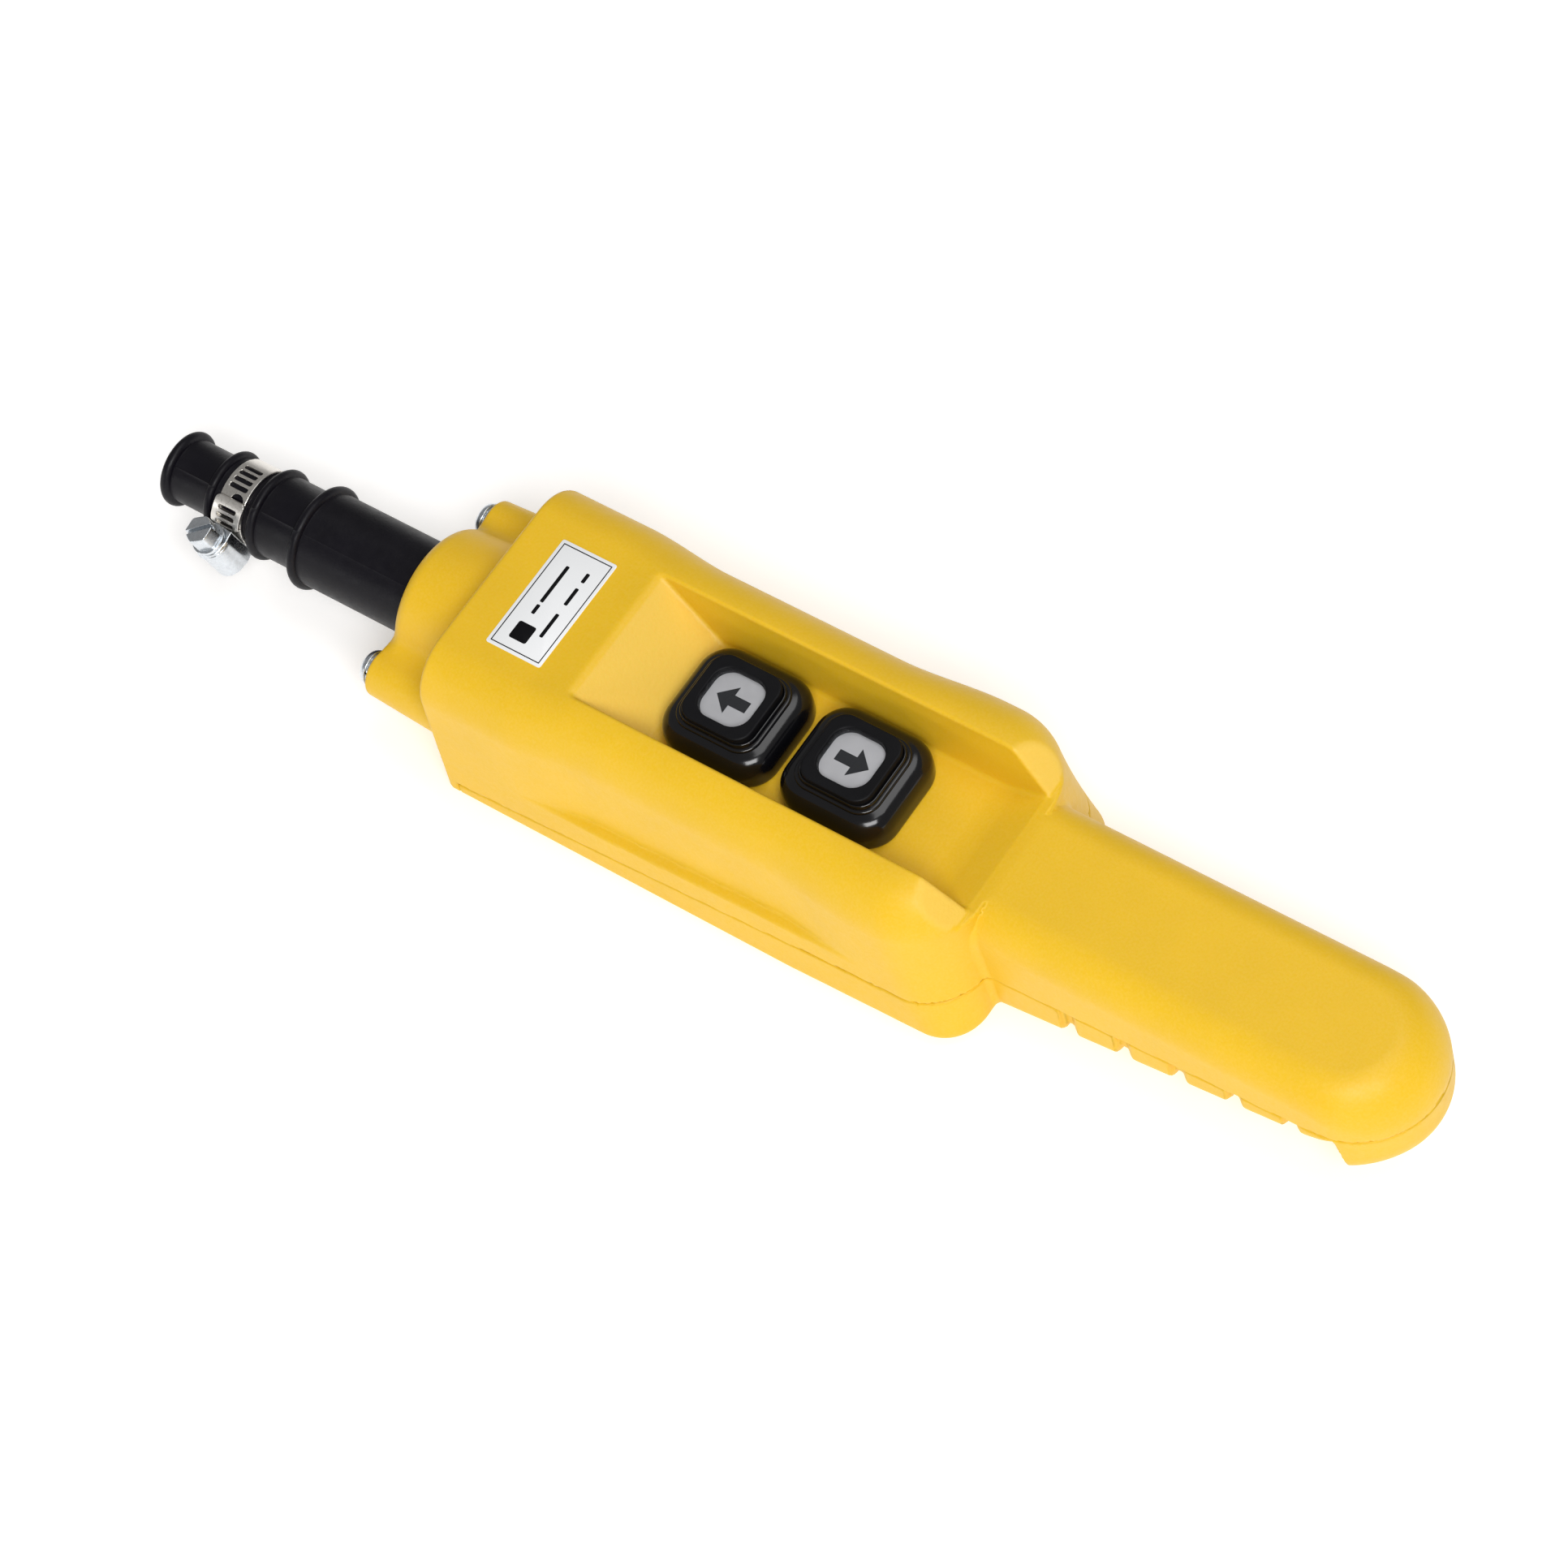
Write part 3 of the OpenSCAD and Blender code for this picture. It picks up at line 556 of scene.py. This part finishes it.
MATERIALS = {
    "yellow_shell": yellow_plastic(),
    "black_rubber": moulded("black_rubber", (0.004, 0.0035, 0.006), 0.34, 0.46, 1800, 0.00004, 0.2)
    .put(Specular_IOR_Level=0.2).material,
    "boot_rubber": moulded("boot_rubber", (0.003, 0.003, 0.004), 0.12, 0.2, 700, 0.00001, 0.2)
    .put(Specular_IOR_Level=0.5).material,
    "black_plastic": moulded("black_plastic", (0.004, 0.004, 0.005), 0.42, 0.55, 2400, 0.00003, 0.2)
    .put(Specular_IOR_Level=0.15).material,
    "red_plastic": moulded("red_plastic", (0.45, 0.02, 0.015), 0.35, 0.5).material,
    "zinc_steel": metal("zinc_plate", (0.74, 0.78, 0.82), 0.20, 0.34),
    "clamp_steel": metal("clamp_strip", (0.82, 0.79, 0.74), 0.26, 0.38, 1200, (6, 1, 1)),
    "spring_steel": metal("spring_wire", (0.5, 0.51, 0.53), 0.25, 0.4, 1500),
    "insert_brass": metal("insert_brass", (0.72, 0.5, 0.2), 0.25, 0.4),
    "contact_brass": metal("contact_brass", (0.78, 0.55, 0.25), 0.2, 0.35, 700, (1, 8, 1)),
    "label_film": moulded("label_film", (0.86, 0.87, 0.88), 0.28, 0.36, 2000, 0.000006, 0.015).material,
    "legend_silver": silver_foil(),
    "clear_lens": clear_plastic(),
    "print_black": moulded("print_black", (0.004, 0.004, 0.005), 0.5, 0.65, 1500, 0.000005, 0.15)
    .put(Specular_IOR_Level=0.1).material,
}


# ---------------------------------------------------------------- pieces

def piece(name, solid, body, slot, replaces=(), look=None, normals=None, sharp=35):
    """A mesh object in the row frame that rides on a body and takes its finish from a slot."""
    points, faces = solid
    mesh = bpy.data.meshes.new(name)
    coordinates = np.asarray(points, float) * MM + np.array([HEAD_X, 0, 0])
    mesh.from_pydata(coordinates.tolist(), [], [list(map(int, f)) for f in faces])
    mesh.update()
    obj = bpy.data.objects.new(name, mesh)
    bpy.context.scene.collection.objects.link(obj)
    mesh.shade_smooth()
    if normals is not None:
        mesh.normals_split_custom_set_from_vertices(normals.tolist())
    else:
        mesh.set_sharp_from_angle(angle=math.radians(sharp))
    mesh.materials.append(MATERIALS[look or slot])
    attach(obj, body)
    if replaces:
        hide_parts(*replaces)
    return obj


def field_piece(name, field, low, high, step, body, slot, replaces=(), look=None):
    points, quads, normals = surface(field, low, high, step)
    return piece(name, (points, quads), body, slot, replaces, look, normals)


def mark_coarse(obj):
    """Stores where the shell's grain is coarse: on the rails' facets and on the lead ramp."""
    points = np.array([v.co for v in obj.data.vertices]) / MM - np.array([HEAD_X / MM, 0, 0])
    x, y, z = points.T
    facet = np.exp(-(np.minimum(np.abs(rail_facets(x, z)), 3) / 0.35) ** 2) * (x > 135) * (x < 147.5)
    facet *= (z > DECK_Z + 0.6) * (np.abs(y) > 17)
    ramp = np.exp(-(above_ramp(x, z) / 0.4) ** 2) * (x > 38.5) * (x < 56)
    ramp *= (np.abs(y) < 18.2) * (z > FLOOR_Z + 0.6)
    attribute = obj.data.attributes.new("coarse", "FLOAT", "POINT")
    attribute.data.foreach_set("value", np.maximum(facet, ramp).astype(np.float32))


def build_shells():
    """Both shells, the cord between them and the cap on the cable end."""
    step = 0.8
    front = field_piece("front_shell_moulding", front_shell, SHELL_LOW, SHELL_HIGH, step,
                        "station", "yellow_shell", ["front_shell"])
    mark_coarse(front)
    low, high = node_box("rear_cover")
    field_piece("rear_cover_moulding", rear_cover, low, high, step, "station", "yellow_shell",
                ["rear_cover"])
    field_piece("cover_gasket_cord", gasket_cord, low, high, step * 0.75, "station", "black_rubber",
                ["cover_gasket"])
    low, high = node_box("cable_entry_cap")
    field_piece("entry_cap_moulding", entry_cap, low, high, step * 0.75, "station", "yellow_shell",
                ["cable_entry_cap"])


# ---------------------------------------------------------------- cable sleeve

SLEEVE_END = -node_box("cable_sleeve")[0][0]
RING_PITCH = 14.6
STEP_RADII = [12.3, 10.7, 9.5, 8.4]
RING_RADII = [1.3, 1.2, 1.15, 1.4]


def sleeve_profile():
    """(radius, distance outwards) round the sleeve's wall, from its foot inside the head."""
    last = SLEEVE_END - RING_RADII[3]
    profile = [(14.2, -5.9), (14.2, -3.6), (12.3, -3.5)]
    for i, (radius, bead) in enumerate(zip(STEP_RADII, RING_RADII)):
        at = last - (3 - i) * RING_PITCH
        profile += [(radius, at - bead - 0.35), (radius + 0.1, at - bead - 0.05)]
        for angle in np.radians(np.linspace(-80, 80, 11)):
            profile.append((radius + 0.2 + bead * math.cos(angle), at + bead * math.sin(angle)))
        if i < 3:
            following = STEP_RADII[i + 1]
            profile += [(following + 0.1, at + bead + 0.1), (following, at + bead + 0.45)]
    bore = [(7.0, SLEEVE_END - 0.15), (6.6, SLEEVE_END - 0.5), (6.5, 60.0), (8.9, 57.5), (8.9, -5.9)]
    return profile + bore


def build_sleeve():
    """Turned rubber sleeve, with the fine flash line that its mould leaves along two sides."""
    fine = np.radians(np.array([-1.2, -0.5, 0, 0.5, 1.2]))
    steps = np.linspace(0, 2 * math.pi, 96, endpoint=False)
    seams = [math.radians(118), math.radians(298)]
    angles = [a for a in steps if all(abs(a - s) > math.radians(2) for s in seams)]
    for s in seams:
        angles += list(s + fine)
    angles = np.array(sorted(angles))
    flash = sum(np.exp(-((angles - s) / math.radians(0.6)) ** 2) for s in seams) * 0.13
    rings = []
    for r, out in sleeve_profile():
        swell = flash * (0 < out < 102 and r > 8.3)
        rings.append(np.column_stack([np.full(len(angles), -out), (r + swell) * np.cos(angles),
                                      CABLE_Z + (r + swell) * np.sin(angles)]))
    piece("cable_sleeve_rubber", loft(rings[::-1], closed=True), "station", "black_rubber",
          ["cable_sleeve"], sharp=42)


# ---------------------------------------------------------------- hose clamp

BAND_X = sum(node_box("clamp_band")[i][0] for i in (0, 1)) / 2
BAND_R = 9.5
BAND_T = 0.7
BAND_W = 7.9
HOUSING_ANGLE = math.radians(190)
HOUSING_SKEW = math.radians(10)
WORM_OUT = 14.65
SLOTS = 9
TAIL_SLOTS = 3
SLOT_PITCH = 11.5


def band(x, y, z):
    """The slotted band, with its free tail lying over it on the way into the worm housing."""
    across = x - BAND_X
    radius = np.hypot(y, z - CABLE_Z)
    angle = np.degrees(np.arctan2(z - CABLE_Z, y)) % 360
    arc = radius * np.pi / 180
    ring = meet(np.abs(radius - BAND_R - BAND_T / 2) - BAND_T / 2, np.abs(across) - BAND_W / 2, 0.12)
    for i in [n for n in range(SLOTS) if n not in (4, 5)]:
        slot = plan_slot(across, (angle - 68 - i * SLOT_PITCH) * arc, 2.7, 0.6)
        ring = carve(ring, slot, 0.08)
    hole = np.hypot(across - 1.2, (angle - 122) * arc) - 1.9
    ring = carve(ring, hole, 0.08)
    tail_u = (angle - 143) * arc
    tail_v = across + 0.35 + 0.1 * tail_u
    tail = meet(np.abs(radius - BAND_R - 1.5 * BAND_T - 0.06) - BAND_T / 2,
                plan_slot(tail_v, tail_u, 4.4, 4.2, 1.3), 0.1)
    for i in range(TAIL_SLOTS):
        slot = plan_slot(tail_v, (angle - 137 - i * SLOT_PITCH) * arc, 2.7, 0.6)
        tail = carve(tail, slot, 0.08)
    return np.minimum(ring, tail)


def plan_slot(u, v, half_u, half_v, r=0.45):
    """Distance outside a rectangle with round corners."""
    qu, qv = np.abs(u) - half_u + r, np.abs(v) - half_v + r
    return np.hypot(np.maximum(qu, 0), np.maximum(qv, 0)) + np.minimum(np.maximum(qu, qv), 0) - r


def worm_frame(x, y, z):
    """Coordinates at the worm: across the band, outwards, and along the worm towards its head."""
    c, s = math.cos(HOUSING_ANGLE), math.sin(HOUSING_ANGLE)
    dx, dz = x - BAND_X + 0.5, z - CABLE_Z
    out = y * c + dz * s - WORM_OUT
    along = y * s - dz * c
    across = dx * math.cos(HOUSING_SKEW) + along * math.sin(HOUSING_SKEW)
    return across, out, along * math.cos(HOUSING_SKEW) - dx * math.sin(HOUSING_SKEW)


def clamp_housing(x, y, z):
    """A pressed saddle over the worm, with its flanks folded down to the band."""
    u, out, along = worm_frame(x, y, z)
    barrel = np.hypot(u, out) - 4.4
    base = plan_slot(u, out + 2.6, 4.4, 1.75, 0.8)
    form = join(barrel, base, 1.2)
    form = meet(form, np.abs(along) - 5.5, 0.5)
    rib = meet(np.abs(np.hypot(u, out) - 4.2) - 0.5, np.abs(along - 4.2) - 0.5, 0.3)
    form = join(form, rib, 0.3)
    form = np.maximum(form, 3.3 - np.hypot(u, out))
    return np.maximum(form, BAND_R + 2 * BAND_T - 0.55 - np.hypot(y, z - CABLE_Z))


def worm_screw(x, y, z):
    """The worm, its collar and its slotted hexagon head."""
    u, out, along = worm_frame(x, y, z)
    radius = np.hypot(u, out)
    turn = np.arctan2(out, u) / (2 * np.pi)
    phase = np.abs((along / 1.6 - turn) % 1 - 0.5) * 2
    thread = meet(radius - 2.55 - 0.65 * ease(phase, 0.25, 0.75), np.abs(along) - 5.2, 0.3)
    shank = meet(radius - 2.4, np.abs(along - 1) - 6.2, 0.3)
    collar = meet(radius - 4.4, np.abs(along - 6.25) - 0.5, 0.2)
    hexagon = np.full_like(radius, -9.0)
    for k in range(3):
        a = math.radians(60 * k)
        hexagon = np.maximum(hexagon, np.abs(u * math.cos(a) + out * math.sin(a)) - 3.5)
    head = meet(meet(hexagon, np.abs(along - 9.1) - 2.5, 0.35), radius - 4.0, 0.5)
    head = carve(head, np.maximum(np.abs(out * 0.8 + u * 0.6) - 0.55, 10.1 - along), 0.15)
    return np.minimum(np.minimum(thread, shank), np.minimum(collar, head))


def build_clamp():
    """The hose clamp's band and housing, and the worm that turns in them."""
    step = 0.22
    low, high = node_box("clamp_band")
    field_piece("clamp_band_strip", band, low, high, step, "station", "clamp_steel", ["clamp_band"])
    low, high = node_box("clamp_housing")
    field_piece("clamp_housing_pressing", clamp_housing, low, high, step * 1.3, "station", "zinc_steel",
                ["clamp_housing"])
    low, high = node_box("clamp_screw")
    field_piece("clamp_worm_screw", worm_screw, low, high, step * 1.1, "clamp_worm", "zinc_steel",
                ["clamp_screw"])


# ---------------------------------------------------------------- cap screws

def build_cap_screws():
    """Pan heads with a cross recess, on split spring washers."""
    step = 0.28
    seat = node_box("cap_spring_washers")[0][0]

    def screws(x, y, z):
        out = seat - x
        radius = np.hypot(np.abs(y) - EAR_Y, z - CABLE_Z)
        dome = np.hypot(radius, out + 3.2) - 6.3
        head = meet(meet(radius - 4.7, dome, 0.8), -out, 0.25)
        side = np.abs(y) - EAR_Y
        a = (side + z - CABLE_Z) / math.sqrt(2)
        b = (side - z + CABLE_Z) / math.sqrt(2)
        one_bar = np.maximum(np.abs(a) - 0.55, np.abs(b) - 2.6)
        cross = np.minimum(one_bar, np.maximum(np.abs(b) - 0.55, np.abs(a) - 2.6))
        head = carve(head, np.maximum(cross, 1.2 + radius * 0.25 - out), 0.15)
        shank = meet(radius - 2.45, np.abs(out + 16.5) - 17, 0.4)
        return np.minimum(head, shank)

    def washers(x, y, z):
        side = np.abs(y) - EAR_Y
        radius = np.hypot(side, z - CABLE_Z)
        ring = meet(meet(np.abs(radius - 3.45) - 0.8, seat - x, 0.2), x - seat - 1.25, 0.2)
        angle = np.arctan2(z - CABLE_Z, side) - math.radians(35)
        cut = np.abs(np.sin(angle) * radius + 0.5 * (x - seat - 0.6)) - 0.3
        return carve(ring, np.maximum(cut, -np.cos(angle)), 0.08)

    low, high = node_box("cap_screws")
    field_piece("cap_screw_set", screws, low, high, step, "station", "zinc_steel", ["cap_screws"])
    low, high = node_box("cap_spring_washers")
    field_piece("cap_washer_set", washers, low, high, step * 0.7, "station", "zinc_steel",
                ["cap_spring_washers"])


# ---------------------------------------------------------------- buttons

CAP_TOP = node_box("up_button_cap")[1][2]
BOOT_HALF = (15.4, 14.7)
BOOT_CORNER_R = 8
BOOT_RISE = 3.4
BOOT_ROUND = (3.7, 5.2)
BOOT_LIPS = [(3.72, 8.75), (3.75, 9.15), (3.9, 9.4), (4.2, 9.5), (4.55, 9.5), (4.62, 9.6), (4.65, 10.1),
             (4.75, 10.4), (4.95, 10.55), (5.15, 10.5), (5.22, 10.3), (5.22, 3.0), (3.6, 0.0)]


def boot_profile():
    """(inset, height) of the boot's skin: an upright foot, a round shoulder and two lips."""
    profile = [(0.25, 0.0), (0.05, 0.6), (0.0, 1.4)]
    for angle in np.linspace(0, math.pi / 2 - 0.12, 12):
        inset = BOOT_ROUND[0] * (1 - math.cos(angle))
        profile.append((inset, BOOT_RISE + BOOT_ROUND[1] * math.sin(angle)))
    return profile + BOOT_LIPS


def boot(side):
    """The rubber bellows round a button: a glossy swelling with two narrow steps up to the cap."""
    rings = []
    for inset, height in boot_profile():
        shape = outline(BOOT_HALF[0] - inset * 1.03, BOOT_HALF[1] - inset, BOOT_CORNER_R - inset * 0.72)
        rings.append(level(shape, FLOOR_Z + 0.02 + height) + np.array([BUTTON_X[side], 0, 0]))
    obj = piece(side + "_boot_rubber", loft(rings, closed=True), "station", "black_rubber",
                [side + "_boot"], "boot_rubber", sharp=50)
    height = max(h for _, h in BOOT_LIPS)
    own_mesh(obj)


def button_cap(side):
    """The plinth with its window frame, and the stem below it with the clip's groove."""
    centre = np.array([BUTTON_X[side], 0, 0])
    low = node_box(side + "_button_cap")[0][2]
    clip_low, clip_high = (node_box(side + "_stem_clip")[i][2] for i in (0, 1))
    top, floor = CAP_TOP, node_box(side + "_legend_plate")[0][2]
    edge = [(9.7, top - 5.1, 4.3), (9.7, top - 0.5, 4.3), (9.66, top - 0.28, 4.3), (9.55, top - 0.1, 4.2),
            (9.35, top, 4.1), (9.2, top, 4.0)]
    frame_edge = [(7.5, top, 4.9), (7.35, top, 4.8), (7.22, top - 0.06, 4.75), (7.1, top - 0.2, 4.7),
                  (7.02, top - 0.4, 4.6), (7.0, top - 0.6, 4.6), (6.9, floor, 4.5), (3.0, floor - 0.02, 2.0)]
    plinth = loft([level(outline(h, h, r), z) + centre for h, z, r in edge + frame_edge])
    stem = turned([(0.02, low), (3.6, low), (4.0, low + 0.4), (4.0, clip_low), (3.5, clip_low),
                   (3.5, clip_high), (4.0, clip_high), (4.0, top - 4.9), (0.02, top - 4.9)])
    piece(side + "_button_plinth", merge(plinth, moved(stem, centre)), side + "_button", "black_plastic",
          [side + "_button_cap"], sharp=38)


def lens(side):
    """A clear window with a softly rounded rim."""
    centre = np.array([BUTTON_X[side], 0, 0])
    low, high = (node_box(side + "_lens")[i][2] for i in (0, 1))
    profile = [(6.8, low + 0.06), (6.8, high - 0.5), (6.7, high - 0.2), (6.45, high - 0.04), (6.1, high),
               (3.0, high)]
    rings = [level(outline(h, h, max(4.5 - (6.85 - h), 1.5)), z) + centre for h, z in profile]
    piece(side + "_window", loft(rings), side + "_button", "clear_lens", [side + "_lens"], sharp=60)


def arrow(side):
    """A printed arrow: towards the cable on the upper button and towards the grip on the lower."""
    way = -1 if side == "up" else 1
    head, tail, wing, stem = 4.6, -4.2, 3.9, 1.5
    neck = 0.4
    upper = [(head, 0), (neck, wing), (neck, stem), (tail, stem)]
    shape = np.array(upper + [(x, -y) for x, y in upper[:0:-1]])
    shape = shape * (way, 1)
    if way < 0:
        shape = shape[::-1]
    low = node_box(side + "_legend_plate")[1][2]
    rings = [level(shape, low + h) + np.array([BUTTON_X[side], 0, 0]) for h in (0.005, 0.04)]
    piece(side + "_legend_arrow", loft(rings), side + "_button", "black_plastic", look="print_black")


def return_spring(side):
    """A coil of wire with closed ends."""
    low, high = (node_box(side + "_return_spring")[i][2] for i in (0, 1))
    wire, turns, coil_r = 0.33, 5.5, 2.25
    t = np.linspace(0, 1, 160)
    rise = t + 0.06 * np.sin(2 * math.pi * t)
    angle = t * turns * 2 * math.pi
    path = np.column_stack([BUTTON_X[side] + coil_r * np.cos(angle), coil_r * np.sin(angle),
                            low + wire + 0.02 + rise * (high - low - 2 * wire - 0.04)])
    obj = piece(side + "_coil_spring", tube(path, wire), "station", "spring_steel",
                [side + "_return_spring"])
    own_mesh(obj)


def build_buttons():
    for side in ("up", "down"):
        boot(side)
        button_cap(side)
        lens(side)
        arrow(side)
        return_spring(side)


# ---------------------------------------------------------------- label

def build_label():
    """A white film label with a fine border, a blank mark and two ruled lines."""
    low, high = node_box("rating_label")
    centre = (low + high) / 2
    half_x, half_y = (high[0] - low[0]) / 2, (high[1] - low[1]) / 2

    def plate(hx, hy, r, z0, z1, dx=0.0, dy=0.0):
        shapes = [outline(hx, hy, r, 5), outline(hx, hy, r, 5), outline(hx - 0.06, hy - 0.06, r, 5)]
        rings = [level(s, z) + np.array([centre[0] + dx, centre[1] + dy, 0])
                 for s, z in zip(shapes, (z0, z1 - 0.03, z1))]
        return loft(rings)

    print_low, print_high = high[2] - 0.05, high[2] - 0.01
    piece("label_film", plate(half_x, half_y, 0.6, low[2] + 0.005, print_low), "station", "label_film",
          ["rating_label"])
    bars = []
    edge_x, edge_y, line = half_x - 1.0, half_y - 1.0, 0.14
    for s in (-1, 1):
        bars.append(plate(edge_x + line, line, 0.05, print_low, print_high, dy=s * edge_y))
        bars.append(plate(line, edge_y + line, 0.05, print_low, print_high, dx=s * edge_x))
    for dx, spans in ((-2.4, ((-3.2, 1.4), (4.6, 5.6))), (3.2, ((-5.4, 3.6), (3.6, 2.6), (9.4, 1.4)))):
        for dy, half in spans:
            bars.append(plate(0.5, half, 0.3, print_low, print_high, dx=dx, dy=dy))
    bars.append(plate(2.5, 2.5, 0.6, print_low, print_high, dx=-1.4, dy=-half_y * 0.62))
    piece("label_print", merge(*bars), "station", "label_film", look="print_black")


def finish_inner_parts():
    """Gives each CAD node that still shows the material of its slot."""
    slots = {s["node"]: s["material_slot"] for s in frame["record"]["subparts"]}
    for name, obj in frame["nodes"].items():
        obj.data.materials.clear()
        obj.data.materials.append(MATERIALS[slots[name]])


# ---------------------------------------------------------------- studio

def build_floor():
    """A white table top that glows a little, so that it stays white to the edges."""
    s = moulded("studio_floor", (0.93, 0.92, 0.91), 0.6, 0.75, 300, 0.00001, 0.01)
    s.put(Emission_Color=(1, 0.99, 0.98, 1), Emission_Strength=0.34, Specular_IOR_Level=0.1)
    size = 3.0
    mesh = bpy.data.meshes.new("studio_floor")
    corners = [(-size, -size, 0), (size, -size, 0), (size, size, 0), (-size, size, 0)]
    mesh.from_pydata([(x, y, -0.0004) for x, y, _ in corners], [], [(0, 1, 2, 3)])
    mesh.materials.append(s.material)
    floor = bpy.data.objects.new("studio_floor", mesh)
    bpy.context.scene.collection.objects.link(floor)


def area_light(name, place, aim, size, power, color=(1, 1, 1)):
    light = bpy.data.lights.new(name, "AREA")
    light.shape = "RECTANGLE"
    light.size, light.size_y = size
    light.energy = power
    light.color = color
    obj = bpy.data.objects.new(name, light)
    bpy.context.scene.collection.objects.link(obj)
    obj.location = place
    obj.rotation_euler = (Vector(aim) - Vector(place)).to_track_quat("-Z", "Y").to_euler()


def build_lights():
    """A large key light from beyond the grip, a fill from above, and two small lights for the highlights."""
    world = bpy.data.worlds.new("studio")
    bpy.context.scene.world = world
    world.use_nodes = True
    background = world.node_tree.nodes["Background"]
    background.inputs["Color"].default_value = (1.0, 0.99, 0.98, 1)
    background.inputs["Strength"].default_value = 0.26
    area_light("key", (1.16, -1.0, 1.78), (0, 0, 0), (1.2, 0.9), 36)
    area_light("top", (0.25, 0.35, 1.15), (0, 0, 0), (0.9, 0.6), 4.2)
    area_light("strip", (-0.62, -0.9, 0.26), (0, 0, 0.03), (0.9, 0.16), 1.4)
    area_light("corner", (0.62, -0.95, 0.42), (0, 0, 0.03), (0.22, 0.22), 0.9)


CAMERA_AZIMUTH = math.radians(50.86)
CAMERA_ELEVATION = math.radians(58.04)
CAMERA_ROLL = math.radians(-19.04)
CAMERA_DISTANCE = 1.1297
CAMERA_LENS = 111.83


def build_camera():
    """A long lens that looks down on the buttons from beyond the grip's near side."""
    azimuth, elevation = CAMERA_AZIMUTH, CAMERA_ELEVATION
    target = Vector((0.00885, -0.00593, 0.030))
    away = Vector((math.sin(azimuth) * math.cos(elevation), -math.cos(azimuth) * math.cos(elevation),
                   math.sin(elevation)))
    camera = bpy.data.cameras.new("camera")
    camera.lens = CAMERA_LENS
    camera.sensor_width = 36
    camera.clip_start = 0.01
    obj = bpy.data.objects.new("camera", camera)
    bpy.context.scene.collection.objects.link(obj)
    facing = (-away).to_track_quat("-Z", "Y").to_matrix().to_4x4()
    place = Matrix.Translation(target + away * CAMERA_DISTANCE)
    obj.matrix_world = place @ facing @ Matrix.Rotation(CAMERA_ROLL, 4, "Z")
    bpy.context.scene.camera = obj


build_camera()
finish_inner_parts()
build_shells()
build_sleeve()
build_clamp()
build_cap_screws()
build_buttons()
build_label()
build_floor()
build_lights()
bpy.context.scene.view_settings.view_transform = "Standard"
